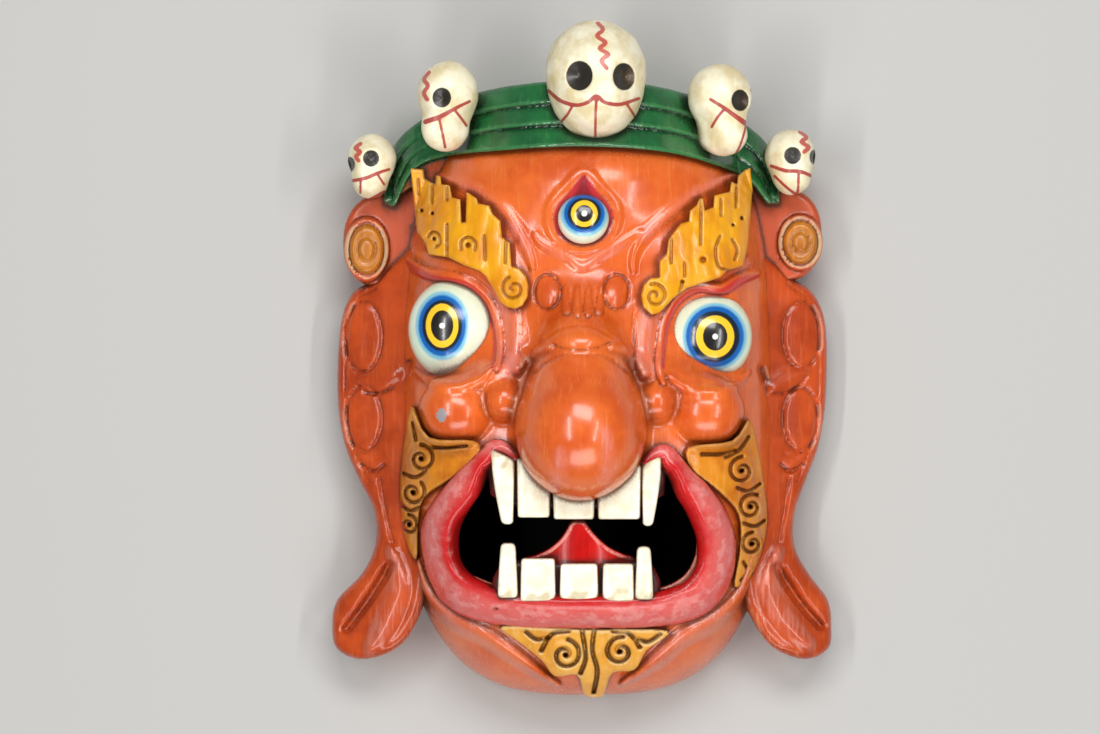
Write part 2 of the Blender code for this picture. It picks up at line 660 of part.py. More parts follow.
def keep_cutter(cutter, cutters):
    """File a cutter in its collection, as a hidden wire shape."""
    for holder in list(cutter.users_collection):
        holder.objects.unlink(cutter)
    cutters.objects.link(cutter)
    cutter.hide_render = True
    cutter.display_type = "WIRE"


def tooth_gaps():
    """Lines between neighbouring teeth, from gum to biting edge."""
    lines = []
    for row in (UPPER_TEETH, LOWER_TEETH):
        for one, other in zip(row[:-1], row[1:]):
            middle = 0.5 * (one[1] + other[0])
            lines.append(((middle, one[2]), (middle, one[3])))
    return lines


def spiral(centre, radius, hand):
    """Points along a spiral that winds in to its middle, in shares."""
    line = []
    for step in range(SPIRAL_STEPS + 1):
        share = step / SPIRAL_STEPS
        turn = math.radians(SPIRAL_TURN) * share
        reach = radius * (1.0 - SPIRAL_NARROWING * share)
        line.append((centre[0] + hand * reach * math.sin(turn), centre[1] + reach * math.cos(turn)))
    return line


def oval(centre, radii):
    """Points around an ear pad's oval, in shares."""
    turns = [2.0 * math.pi * step / PAD_STEPS for step in range(PAD_STEPS + 1)]
    return [(centre[0] + radii[0] * math.cos(turn), centre[1] + radii[1] * math.sin(turn)) for turn in turns]


def distance_to_line(points, line):
    """Distance across the picture from each point to a polyline."""
    best = np.full(len(points), np.inf)
    for start, end in zip(line[:-1], line[1:]):
        a = np.array(start, dtype=float)
        step = np.array(end, dtype=float) - a
        along = np.clip(((points - a) @ step) / max(step @ step, 1e-9), 0.0, 1.0)
        best = np.minimum(best, np.hypot(*(points - a - along[:, None] * step).T))
    return best


def engrave(target, lines, half_width, depth, top=math.inf):
    """Press lines into the front of the carving, up to a top height."""
    mesh = target.data
    count = len(mesh.vertices)
    places = np.empty(count * 3, dtype=np.float32)
    normals = np.empty(count * 3, dtype=np.float32)
    mesh.vertices.foreach_get("co", places)
    mesh.vertices.foreach_get("normal", normals)
    places = places.reshape(-1, 3).astype(float) / SHARE
    facing = np.clip(normals.reshape(-1, 3)[:, 2] * CUT_FACING, 0.0, 1.0)
    front = (places[:, 2] > CUT_FLOOR) & (places[:, 2] < top)
    for line in lines:
        near = distance_to_line(places[:, :2], line) / half_width
        gouge = np.where(near < 1.0, np.cos(0.5 * np.pi * np.minimum(near, 1.0)), 0.0)
        places[:, 2] -= depth * gouge * facing * front
    mesh.vertices.foreach_set("co", (places * SHARE).astype(np.float32).ravel())
    mesh.update()


def press_sockets(target):
    """Sink the eye sockets of the five skulls."""
    mesh = target.data
    for _, centre, radii, turn, _, _ in SKULLS:
        middle = Vector(centre) * SHARE
        for side in (-1.0, 1.0):
            yaw = math.radians(turn + side * SOCKET_SPREAD)
            pitch = math.radians(SOCKET_TILT)
            look = Vector((math.sin(yaw) * math.cos(pitch), math.sin(pitch), math.cos(yaw) * math.cos(pitch)))
            eye = middle + Vector(look[i] * radii[i] for i in range(3)) * SHARE
            size = SOCKET_SIZE * min(radii) * SHARE
            for vertex in mesh.vertices:
                reach = (vertex.co - eye).length / size
                if reach < 1.0:
                    vertex.co -= look * size * SOCKET_DEPTH * (1.0 - reach ** 2)
    mesh.update()


def smooth(target, repeats, factor=0.5):
    """Soften the voxel steps."""
    modifier = target.modifiers.new("Soften", "SMOOTH")
    modifier.factor = factor
    modifier.iterations = repeats
    apply_modifiers(target)


def thin_out(target):
    """Bring the mesh down to its triangle limit, more where it is flat."""
    target.data.calc_loop_triangles()
    modifier = target.modifiers.new("Thin out", "DECIMATE")
    modifier.ratio = TRIANGLE_LIMIT / len(target.data.loop_triangles)
    apply_modifiers(target)


def trim_back(target, cutters):
    """Saw the back flat at z = 0."""
    bm = bmesh.new()
    bmesh.ops.create_cube(bm, size=1.0)
    size = Matrix.Diagonal((*(length * SHARE for length in SAW_SIZE), 1.0))
    below = Matrix.Translation((0.0, 0.0, -0.5 * SAW_SIZE[2] * SHARE))
    bmesh.ops.transform(bm, matrix=below @ size, verts=bm.verts)
    saw = new_object("back_saw", bm)
    cut(target, saw)
    keep_cutter(saw, cutters)


def painted_wood():
    """The mask's main paint."""
    material = bpy.data.materials.new("painted_wood")
    material.use_nodes = True
    shader = material.node_tree.nodes["Principled BSDF"]
    shader.inputs["Base Color"].default_value = PAINT_COLOUR
    shader.inputs["Roughness"].default_value = PAINT_ROUGHNESS
    shader.inputs["Metallic"].default_value = 0.0
    return material


def build():
    """Carve the mask and file it with its cutters."""
    clear_scene()
    parts = bpy.data.collections.new("dance_mask")
    cutters = bpy.data.collections.new("cutters")
    bpy.context.scene.collection.children.link(parts)
    bpy.context.scene.collection.children.link(cutters)

    forms = [head_mass(), lips()] + face_forms() + ornaments() + crown_boards() + ears()
    for sizes in SKULLS:
        forms += skull(*sizes)
    block = join("block", forms)
    remesh(block, BLOCK_VOXEL)

    hollow = hollow_cutter()
    mouth = mouth_cutter()
    nose = ellipsoid("nose_bulb", *NOSE_BULB)
    cut(nose, hollow)
    cut(block, hollow)
    cut(block, mouth)
    keep_cutter(hollow, cutters)
    keep_cutter(mouth, cutters)

    mask = join("carved_mask", [block, nose] + mouth_parts())
    remesh(mask, RELIEF_VOXEL)
    smooth(mask, SOFTENING_STEPS)
    engrave(mask, BROW_CUTS + tuple(spiral(*sizes) for sizes in SPIRALS), *FINE_CUT)
    engrave(mask, [oval(*sizes) for sizes in EAR_PADS], *FINE_CUT)
    engrave(mask, EAR_SEAMS + LOBE_SLOTS + CHIN_STRANDS, *SEAM_CUT)
    engrave(mask, tooth_gaps(), *TOOTH_CUT, top=TOOTH_CUT_TOP)
    press_sockets(mask)
    thin_out(mask)
    trim_back(mask, cutters)

    for holder in list(mask.users_collection):
        holder.objects.unlink(mask)
    parts.objects.link(mask)
    mask.data.materials.clear()
    mask.data.materials.append(painted_wood())


build()
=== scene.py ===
"""Looks of a carved and painted wooden dance mask with a crown of five skulls.

The mask lies on its back and the camera looks straight down on its face. Each
part of the carving is a class: it holds its sizes in millimetres, gives the
signed distance to its own surface, has that surface netted into a mesh, and
dresses the mesh in its own paint. Painted zones, and the brown wash in the
cuts together with painted shade where walls and parts come close, are worked
out from the same distances and kept as vertex values.
"""

import logging
import math
from dataclasses import dataclass, field
from enum import Enum
from typing import Callable, Dict, List, Optional, Sequence, Tuple

import bpy
import numpy as np
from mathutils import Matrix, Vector


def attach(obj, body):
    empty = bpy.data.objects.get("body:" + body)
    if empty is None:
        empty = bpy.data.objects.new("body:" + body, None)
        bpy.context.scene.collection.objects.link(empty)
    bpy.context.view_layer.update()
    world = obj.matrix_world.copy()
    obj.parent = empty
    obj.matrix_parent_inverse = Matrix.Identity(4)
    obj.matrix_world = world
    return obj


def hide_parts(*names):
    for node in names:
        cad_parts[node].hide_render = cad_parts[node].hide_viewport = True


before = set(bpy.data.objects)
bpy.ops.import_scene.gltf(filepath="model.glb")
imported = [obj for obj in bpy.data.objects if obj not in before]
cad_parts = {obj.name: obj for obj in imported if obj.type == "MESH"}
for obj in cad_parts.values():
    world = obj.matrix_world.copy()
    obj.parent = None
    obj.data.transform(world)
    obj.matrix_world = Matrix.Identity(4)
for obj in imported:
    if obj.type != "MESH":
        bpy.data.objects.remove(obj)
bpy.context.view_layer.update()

NODE = "carved_mask"
BODY = "root"
MM = 0.001

Array = np.ndarray
Law = Callable[[Array, Array, Array], Array]
Point = Tuple[float, float]
Place = Tuple[float, float, float]

log = logging.getLogger("dance_mask")

# How far out the painted shade and brown wash look for a near wall, with the share that each look adds
WASH_AND_SHADE_LOOKS = ((1.4, 0.40), (3.5, 0.45), (9.0, 0.45))
# How far in the wear looks for a thin edge
WEAR_DEPTH = 2.2


# Small distance toolbox, all in millimetres


def smooth_min(a: Array, b: Array, blend: float) -> Array:
    """Join two distances with a fillet.

    Args:
        a: First distance.
        b: Second distance.
        blend: Width of the fillet.

    Returns:
        Distance to both shapes joined.
    """
    share = np.clip(0.5 + 0.5 * (b - a) / blend, 0.0, 1.0)
    return b + (a - b) * share - blend * share * (1.0 - share)


def smooth_max(a: Array, b: Array, blend: float) -> Array:
    """Keep what two shapes share, with a softened edge.

    Args:
        a: First distance.
        b: Second distance.
        blend: Width of the softened edge.

    Returns:
        Distance to the shared shape.
    """
    return -smooth_min(-a, -b, blend)


def ball(x: Array, y: Array, z: Array, centre: Place, radii: Place, turn: float = 0.0) -> Array:
    """Distance to a stretched ball, turned about the mask's depth axis.

    Args:
        x, y, z: Places, in millimetres.
        centre: Middle of the ball.
        radii: Its three radii.
        turn: Turn in degrees, anticlockwise as seen from the front.

    Returns:
        Signed distance, close to true near the surface.
    """
    across, along, rise = x - centre[0], y - centre[1], z - centre[2]
    if turn:
        cosine, sine = math.cos(math.radians(turn)), math.sin(math.radians(turn))
        across, along = across * cosine + along * sine, along * cosine - across * sine
    u, v, w = across / radii[0], along / radii[1], rise / radii[2]
    reach = np.sqrt(u * u + v * v + w * w)
    slope = np.sqrt((u / radii[0]) ** 2 + (v / radii[1]) ** 2 + (w / radii[2]) ** 2)
    return reach * (reach - 1.0) / np.maximum(slope, 1e-6)


def rounded_line(points: Sequence[Sequence[float]], closed: bool = False, steps: int = 6) -> Array:
    """Run a smooth curve through given points.

    Args:
        points: Points with any number of values each.
        closed: True where the last point leads back to the first.
        steps: Stretches between two points.

    Returns:
        The curve's points, one row each.
    """
    knots = np.array(points, dtype=float)
    count = len(knots)
    line: List[Array] = []
    for index in range(count if closed else count - 1):
        if closed:
            quad = [knots[(index + shift) % count] for shift in (-1, 0, 1, 2)]
        else:
            quad = [knots[min(max(index + shift, 0), count - 1)] for shift in (-1, 0, 1, 2)]
        before, start, end, after = quad
        for step in range(steps):
            t = step / steps
            line.append(0.5 * (
                2.0 * start + (end - before) * t
                + (2.0 * before - 5.0 * start + 4.0 * end - after) * t ** 2
                + (3.0 * start - before - 3.0 * end + after) * t ** 3
            ))
    if not closed:
        line.append(knots[-1])
    return np.array(line)


def trace(x: Array, y: Array, line: Array) -> Tuple[Array, Array]:
    """Find the nearest place on a line drawn over the picture.

    Args:
        x, y: Places over the picture, in millimetres.
        line: Rows of x, y and, where given, half width.

    Returns:
        Distance to the line's middle and its half width there.
    """
    best = np.full(np.shape(x), 1e3)
    wide = np.ones(np.shape(x))
    widths = line[:, 2] if line.shape[1] > 2 else np.zeros(len(line))
    for start, end, width, other in zip(line[:-1], line[1:], widths[:-1], widths[1:]):
        run_x, run_y = end[0] - start[0], end[1] - start[1]
        length = max(run_x * run_x + run_y * run_y, 1e-9)
        share = np.clip(((x - start[0]) * run_x + (y - start[1]) * run_y) / length, 0.0, 1.0)
        gap = np.hypot(x - start[0] - share * run_x, y - start[1] - share * run_y)
        nearer = gap < best
        best = np.where(nearer, gap, best)
        wide = np.where(nearer, width + (other - width) * share, wide)
    return best, wide


def line_distance(x: Array, y: Array, line: Array) -> Array:
    """Distance across the picture to the edge of a line.

    Args:
        x, y: Places over the picture, in millimetres.
        line: Rows of x, y and, where given, half width.

    Returns:
        Distance to the line's edge, negative on it.
    """
    gap, wide = trace(x, y, line)
    return gap - wide


def outline_distance(x: Array, y: Array, outline: Array) -> Array:
    """Signed distance across the picture to a closed outline.

    Args:
        x, y: Places over the picture, in millimetres.
        outline: The outline's points.

    Returns:
        Distance, negative inside.
    """
    closed = np.vstack([outline[:, :2], outline[:1, :2]])
    gap = line_distance(x, y, closed)
    inside = np.zeros(np.shape(x), dtype=bool)
    for start, end in zip(closed[:-1], closed[1:]):
        crosses = (start[1] > y) != (end[1] > y)
        rise = end[1] - start[1]
        rise = rise if abs(rise) > 1e-9 else 1e-9
        inside ^= crosses & (x < start[0] + (y - start[1]) * (end[0] - start[0]) / rise)
    return np.where(inside, -gap, gap)


def spiral(centre: Point, radius: float, hand: float, start: float = 0.0, turns: float = 1.6) -> Array:
    """A carver's spiral that winds in to its middle.

    Args:
        centre: Middle of the spiral.
        radius: Outer radius.
        hand: 1 to wind clockwise, -1 the other way.
        start: Angle in degrees where it begins, from straight up.
        turns: Number of turns.

    Returns:
        Points along the spiral.
    """
    share = np.linspace(0.0, 1.0, int(20 * turns) + 1)
    angle = math.radians(start) + 2.0 * np.pi * turns * share
    reach = radius * (1.0 - 0.85 * share)
    return np.stack([centre[0] + hand * reach * np.sin(angle), centre[1] + reach * np.cos(angle)], axis=1)


def ripple(x: Array, y: Array, z: Array, span: float, seed: int) -> Array:
    """Cheap smooth unevenness: a few waves in scattered directions.

    Args:
        x, y, z: Places, in millimetres.
        span: Typical size of a swelling.
        seed: Seed for the scattered directions.

    Returns:
        Values between about -1 and 1.
    """
    chance = np.random.default_rng(seed)
    total = np.zeros(np.shape(x))
    waves = 7
    for _ in range(waves):
        heading = chance.normal(size=3)
        heading *= 2.0 * np.pi / (span * np.linalg.norm(heading)) * chance.uniform(0.6, 1.5)
        total += np.sin(heading[0] * x + heading[1] * y + heading[2] * z + chance.uniform(0.0, 6.28))
    return total / waves * 1.6


# Raster of heights or distances over the picture, read back smoothly


class Chart:
    """A map over the mask's plan, worked out once and read many times."""

    LOW = (-158.0, -208.0)
    HIGH = (158.0, 208.0)
    PITCH = 0.5

    def __init__(self, law: Callable[[Array, Array], Array], low: Point = LOW, high: Point = HIGH,
                 pitch: float = PITCH) -> None:
        """Work the map out.

        Args:
            law: Gives the value at places x, y.
            low: Lowest corner of the map.
            high: Highest corner of the map.
            pitch: Distance between its samples.
        """
        self.low = low
        self.pitch = pitch
        self.xs = np.arange(low[0], high[0] + pitch, pitch)
        self.ys = np.arange(low[1], high[1] + pitch, pitch)
        grid_x, grid_y = np.meshgrid(self.xs, self.ys, indexing="ij")
        self.values = law(grid_x, grid_y)

    def at(self, x: Array, y: Array) -> Array:
        """Read the map between its samples.

        Args:
            x, y: Places over the picture, in millimetres.

        Returns:
            The map's values there.
        """
        u = np.clip((x - self.low[0]) / self.pitch, 0.0, len(self.xs) - 1.001)
        v = np.clip((y - self.low[1]) / self.pitch, 0.0, len(self.ys) - 1.001)
        i, j = u.astype(int), v.astype(int)
        s, t = u - i, v - j
        grid = self.values
        lower = grid[i, j] * (1.0 - s) + grid[i + 1, j] * s
        upper = grid[i, j + 1] * (1.0 - s) + grid[i + 1, j + 1] * s
        return lower * (1.0 - t) + upper * t


# Netting a distance law into an even mesh


@dataclass
class Netting:
    """Nets the zero surface of a distance law with even four-sided faces."""

    law: Law
    low: Place
    high: Place
    cell: float
    slack: float = 1.6
    block: int = 4
    chunk: int = 6000

    def net(self) -> Tuple[Array, Array]:
        """Find the surface.

        Returns:
            Its points in millimetres and its faces, four corners each.
        """
        values, origin = self._sample()
        corners, cells, keys = [], [], []
        shape = np.array(values.shape)
        strides = np.array([shape[1] * shape[2], shape[2], 1])
        inside = values < 0.0
        for axis in range(3):
            here = [slice(None)] * 3
            there = [slice(None)] * 3
            here[axis], there[axis] = slice(None, -1), slice(1, None)
            starts = np.argwhere(inside[tuple(here)] != inside[tuple(there)])
            others = [other for other in range(3) if other != axis]
            keep = (starts[:, others[0]] > 0) & (starts[:, others[1]] > 0)
            starts = starts[keep]
            step = np.zeros(3, dtype=int)
            step[axis] = 1
            first = values[tuple(starts.T)]
            second = values[tuple((starts + step).T)]
            share = first / (first - second)
            crossing = starts + step * share[:, None]
            ring = np.zeros((4, 3), dtype=int)
            ring[1, others[0]] = -1
            ring[2, others[0]] = ring[2, others[1]] = -1
            ring[3, others[1]] = -1
            around = ((starts[:, None, :] + ring[None]) * strides).sum(axis=2)
            flip = (first < 0.0) == (axis == 1)
            around[flip] = around[flip][:, ::-1]
            cells.append(around)
            corners.append(np.repeat(crossing, 4, axis=0))
            keys.append((((starts[:, None, :] + ring[None]) * strides).sum(axis=2)).ravel())
        return self._assemble(corners, cells, keys, origin)

    def _assemble(self, corners: List[Array], cells: List[Array], keys: List[Array],
                  origin: Array) -> Tuple[Array, Array]:
        """Turn crossings into points and rings of cells into faces.

        Args:
            corners: Crossings, repeated for the four cells around each.
            cells: The same cells in face order.
            keys: The cells' numbers.
            origin: Place of the first sample.

        Returns:
            Points and faces.
        """
        all_keys = np.concatenate(keys)
        all_corners = np.concatenate(corners)
        unique, inverse = np.unique(all_keys, return_inverse=True)
        count = np.bincount(inverse).astype(float)
        points = np.stack([np.bincount(inverse, weights=all_corners[:, i]) / count for i in range(3)],
                          axis=1)
        points = origin + points * self.cell
        faces = np.searchsorted(unique, np.concatenate(cells))
        return self._settle(points), faces

    def _sample(self) -> Tuple[Array, Array]:
        """Sample the law, finely only where the surface can be.

        Returns:
            The samples and the place of the first.
        """
        origin = np.array(self.low, dtype=float)
        blocks = np.ceil((np.array(self.high) - origin) / (self.cell * self.block)).astype(int) + 1
        centres = [origin[i] + self.cell * (self.block * np.arange(blocks[i]) + 0.5 * (self.block - 1))
                   for i in range(3)]
        coarse = self._values(*np.meshgrid(*centres, indexing="ij"))
        reach = self.slack * self.cell * (0.5 * self.block * math.sqrt(3.0) + 1.0)
        far = np.where(coarse < 0.0, -1e3, 1e3).astype(np.float32)
        values = far
        for axis in range(3):
            values = np.repeat(values, self.block, axis=axis)
        near = np.argwhere(np.abs(coarse) < reach)
        steps = np.stack(np.meshgrid(*[np.arange(self.block)] * 3, indexing="ij"), axis=-1).reshape(-1, 3)
        for start in range(0, len(near), self.chunk):
            index = (near[start:start + self.chunk, None, :] * self.block + steps[None]).reshape(-1, 3)
            place = origin + index * self.cell
            values[tuple(index.T)] = self.law(place[:, 0], place[:, 1], place[:, 2])
        return values, origin

    def _values(self, x: Array, y: Array, z: Array) -> Array:
        """Run the law on a grid of places.

        Args:
            x, y, z: Places, in millimetres.

        Returns:
            Distances on the same grid.
        """
        return self.law(x.ravel(), y.ravel(), z.ravel()).reshape(x.shape)

    def _settle(self, points: Array) -> Array:
        """Move the points onto the true surface.

        Args:
            points: Points near the surface.

        Returns:
            Points on it.
        """
        for _ in range(2):
            x, y, z = points.T
            here = self.law(x, y, z)
            slope = self.slope(points, here)
            length = np.maximum((slope ** 2).sum(axis=1), 0.3)
            shift = np.clip(here / length, -0.6 * self.cell, 0.6 * self.cell)
            points = points - slope * shift[:, None]
        return points

    def slope(self, points: Array, here: Array) -> Array:
        """Direction in which the distance grows.

        Args:
            points: Places.
            here: Distances there.

        Returns:
            One direction for each place.
        """
        step = 0.35 * self.cell
        x, y, z = points.T
        grow = [self.law(x + step, y, z) - here, self.law(x, y + step, z) - here,
                self.law(x, y, z + step) - here]
        return np.stack(grow, axis=1) / step


def new_piece(name: str, points: Array, faces: Array) -> bpy.types.Object:
    """Make a smooth mesh object from points in millimetres.

    Args:
        name: The piece's name.
        points: Its points.
        faces: Its faces, four corners each.

    Returns:
        The object, linked to the scene.
    """
    mesh = bpy.data.meshes.new(name)
    mesh.vertices.add(len(points))
    mesh.vertices.foreach_set("co", (points * MM).astype(np.float32).ravel())
    mesh.loops.add(faces.size)
    mesh.loops.foreach_set("vertex_index", faces.astype(np.int32).ravel())
    mesh.polygons.add(len(faces))
    mesh.polygons.foreach_set("loop_start", np.arange(0, faces.size, 4, dtype=np.int32))
    mesh.update(calc_edges=True)
    mesh.shade_smooth()
    piece = bpy.data.objects.new(name, mesh)
    bpy.context.scene.collection.objects.link(piece)
    return piece


def keep_values(piece: bpy.types.Object, values: Dict[str, Array]) -> None:
    """Store one number for each vertex under each name.

    Args:
        piece: The mesh object.
        values: Name to numbers.
    """
    for name, numbers in values.items():
        layer = piece.data.attributes.new(name, "FLOAT", "POINT")
        layer.data.foreach_set("value", np.asarray(numbers, dtype=np.float32))


class Relief(Chart):
    """A chart of low carving, in millimetres out from the plain surface."""

    def __init__(self, low: Point = Chart.LOW, high: Point = Chart.HIGH,
                 pitch: float = Chart.PITCH) -> None:
        """Start with nothing carved.

        Args:
            low: Lowest corner of the chart.
            high: Highest corner of the chart.
            pitch: Distance between its samples.
        """
        super().__init__(lambda x, y: np.zeros(x.shape), low, high, pitch)

    def _patch(self, line: Array) -> Tuple[Tuple[slice, slice], Array, Array]:
        """Find the part of the chart that a line can touch.

        Args:
            line: Rows of x, y and half width.

        Returns:
            The part's slices and the places in it.
        """
        reach = float(line[:, 2].max()) + 2.0 * self.pitch
        spans = []
        for marks, along in ((self.xs, line[:, 0]), (self.ys, line[:, 1])):
            first = int(np.searchsorted(marks, along.min() - reach))
            last = int(np.searchsorted(marks, along.max() + reach))
            spans.append(slice(first, max(last, first + 1)))
        grid_x, grid_y = np.meshgrid(self.xs[spans[0]], self.ys[spans[1]], indexing="ij")
        return (spans[0], spans[1]), grid_x, grid_y

    def ridge(self, points: Sequence[Sequence[float]], height: float, closed: bool = False,
              soft: bool = False) -> None:
        """Raise a round cord or a soft fold along a line.

        Args:
            points: Rows of x, y and half width.
            height: How far it stands out.
            closed: True where the line is a ring.
            soft: True for a fold that runs out smoothly at its edges.
        """
        line = rounded_line(points, closed)
        line = np.vstack([line, line[:1]]) if closed else line
        where, x, y = self._patch(line)
        gap, wide = trace(x, y, line)
        share = np.clip(1.0 - (gap / wide) ** 2, 0.0, 1.0)
        here = self.values[where]
        cord = np.where(gap < wide, np.maximum(here, height * np.sqrt(share)), here)
        self.values[where] = here + height * share ** 2 if soft else cord

    def groove(self, line: Array, half_width: float, depth: float) -> None:
        """Cut a line with a gouge.

        Args:
            line: Rows of x and y.
            half_width: Half the width of the cut.
            depth: Depth of the cut.
        """
        wide = np.column_stack([line[:, :2], np.full(len(line), half_width)])
        where, x, y = self._patch(wide)
        gap, _ = trace(x, y, wide)
        profile = depth * np.cos(0.5 * np.pi * np.clip(gap / half_width, 0.0, 1.0)) ** 1.5
        self.values[where] = self.values[where] - profile

    def dish(self, centre: Point, radii: Point, height: float) -> None:
        """Raise or sink a smooth oval.

        Args:
            centre: Middle of the oval.
            radii: Its two radii.
            height: Height of its middle, negative to sink it.
        """
        line = np.array([[centre[0], centre[1], max(radii)]])
        where, x, y = self._patch(line)
        reach = ((x - centre[0]) / radii[0]) ** 2 + ((y - centre[1]) / radii[1]) ** 2
        self.values[where] = self.values[where] + height * np.clip(1.0 - reach, 0.0, 1.0)


# Finishes


def linear(code: str) -> Tuple[float, float, float, float]:
    """Turn an sRGB hex colour into the linear colour that a shader takes.

    Args:
        code: Six hex digits after a hash.

    Returns:
        Linear red, green, blue and 1.
    """
    shares = [int(code[i:i + 2], 16) / 255.0 for i in (1, 3, 5)]
    turned = [s / 12.92 if s <= 0.04045 else ((s + 0.055) / 1.055) ** 2.4 for s in shares]
    return (turned[0], turned[1], turned[2], 1.0)


def add(tree: bpy.types.NodeTree, kind: str, inputs: Optional[Dict[object, object]] = None,
        **settings: object) -> bpy.types.Node:
    """Add one node with its settings, values and links.

    Args:
        tree: The tree that gets the node.
        kind: The node's type.
        inputs: Socket to value, or to the socket that feeds it.
        settings: Settings of the node itself.

    Returns:
        The node.
    """
    node = tree.nodes.new(kind)
    for name, value in settings.items():
        setattr(node, name, value)
    for key, value in (inputs or {}).items():
        if isinstance(value, bpy.types.NodeSocket):
            tree.links.new(value, node.inputs[key])
        else:
            node.inputs[key].default_value = value
    return node


@dataclass(frozen=True)
class Zone:
    """A field of another colour, bounded by a distance kept on the mesh."""

    value: str
    colour: str
    edge: float = 0.0
    soft: float = 0.5
    ragged: float = 0.25
    cover: float = 1.0
    dry: float = 0.0


@dataclass(frozen=True)
class BrushedPaint:
    """Glossy paint brushed by hand on carved wood, darkened in its cuts by brown wash and painted shade."""

    IOR = 1.5
    COAT_ROUGHNESS = 0.12
    PATCH_SPAN = (0.35, 0.68)
    STREAK_SPAN = (0.5, 0.78)
    WASH_AND_SHADE_SPAN = (0.42, 1.12)
    RUB_SPAN = (0.72, 1.0)

    name: str
    tone: str
    deep: str
    pale: str
    zones: Tuple[Zone, ...] = ()
    wash_and_shade: str = "#3a1408"
    wash_and_shade_cover: float = 0.85
    worn: str = "#e9a487"
    worn_cover: float = 0.35
    streaks: float = 0.35
    roughness: float = 0.25
    coat: float = 0.25
    specular: float = 0.5
    relief: float = 1.0
    stroke_mm: float = 2.4
    stroke_run: Place = (1.0, 0.1, 0.35)
    patch_mm: float = 26.0
    speck_mm: float = 1.3

    def material(self) -> bpy.types.Material:
        """Give the finish as a material, made on first use.

        Returns:
            The material.
        """
        ready = bpy.data.materials.get(self.name)
        if ready is not None:
            return ready
        made = bpy.data.materials.new(self.name)
        made.use_nodes = True
        tree = made.node_tree
        shader = tree.nodes["Principled BSDF"]
        fields = self._fields(tree)
        colour = self._colour(tree, fields)
        rough = add(tree, "ShaderNodeMath", {0: fields["streak"], 1: 0.16, 2: self.roughness - 0.08},
                    operation="MULTIPLY_ADD")
        rough = add(tree, "ShaderNodeMath", {0: fields["wash_and_shade"], 1: 0.06, 2: rough.outputs[0]},
                    operation="MULTIPLY_ADD", use_clamp=True)
        tree.links.new(colour, shader.inputs["Base Color"])
        tree.links.new(rough.outputs[0], shader.inputs["Roughness"])
        tree.links.new(self._bump(tree, fields), shader.inputs["Normal"])
        shader.inputs["IOR"].default_value = self.IOR
        shader.inputs["Specular IOR Level"].default_value = self.specular
        shader.inputs["Coat Weight"].default_value = self.coat
        shader.inputs["Coat Roughness"].default_value = self.COAT_ROUGHNESS
        return made

    def _fields(self, tree: bpy.types.NodeTree) -> Dict[str, bpy.types.NodeSocket]:
        """Lay down the patterns that the colour and the bump share.

        Args:
            tree: The material's tree.

        Returns:
            Name to value.
        """
        place = add(tree, "ShaderNodeTexCoord").outputs["Object"]
        # Brush strokes mostly run down the mask: a stroke is about 2.4 mm wide and ten times as long
        spread = tuple(share / (self.stroke_mm * MM) for share in self.stroke_run)
        drawn = add(tree, "ShaderNodeMapping", {"Vector": place, "Scale": spread})
        streak = add(tree, "ShaderNodeTexNoise", {"Vector": drawn.outputs[0], "Scale": 1.0, "Detail": 3.0,
                                                  "Roughness": 0.6})
        patch = add(tree, "ShaderNodeTexNoise", {"Vector": place, "Scale": 1.0 / (self.patch_mm * MM),
                                                 "Detail": 3.0, "Roughness": 0.6})
        speck = add(tree, "ShaderNodeTexNoise", {"Vector": place, "Scale": 1.0 / (self.speck_mm * MM),
                                                 "Detail": 2.0, "Roughness": 0.5})
        return {
            "place": place,
            "streak": streak.outputs["Fac"],
            "patch": patch.outputs["Fac"],
            "speck": speck.outputs["Fac"],
            "wash_and_shade": add(tree, "ShaderNodeAttribute", attribute_name="wash_and_shade").outputs["Fac"],
            "wear": add(tree, "ShaderNodeAttribute", attribute_name="wear").outputs["Fac"],
        }

    def _colour(self, tree: bpy.types.NodeTree,
                fields: Dict[str, bpy.types.NodeSocket]) -> bpy.types.NodeSocket:
        """Build the paint up: ground, fields of colour, wash and painted shade in the cuts, wear on the
        edges.

        Args:
            tree: The material's tree.
            fields: The shared patterns.

        Returns:
            The colour.
        """
        # Brown wash with painted shade in the cuts and between parts, broken up by specks
        darkening = add(tree, "ShaderNodeMath", {0: fields["speck"], 1: 0.5, 2: fields["wash_and_shade"]},
                    operation="MULTIPLY_ADD")
        rub = add(tree, "ShaderNodeMath", {0: fields["streak"], 1: 0.7, 2: fields["wear"]},
                  operation="MULTIPLY_ADD")
        ground = ((fields["patch"], self.PATCH_SPAN, 1.0, self.deep),
                  (fields["streak"], self.STREAK_SPAN, self.streaks, self.pale))
        shade_wash_and_wear = ((darkening.outputs[0], self.WASH_AND_SHADE_SPAN, self.wash_and_shade_cover, self.wash_and_shade),
               (rub.outputs[0], self.RUB_SPAN, self.worn_cover, self.worn))
        colour = linear(self.tone)
        for layer in (*ground, *self.zones, *shade_wash_and_wear):
            if isinstance(layer, Zone):
                share, paint = self._zone_share(tree, fields, layer), layer.colour
            else:
                value, (low, high), cover, paint = layer
                share = add(tree, "ShaderNodeMapRange", {0: value, 1: low, 2: high, 4: cover},
                            interpolation_type="SMOOTHSTEP").outputs[0]
            colour = add(tree, "ShaderNodeMix", {0: share, 6: colour, 7: linear(paint)},
                         data_type="RGBA").outputs[2]
        return colour

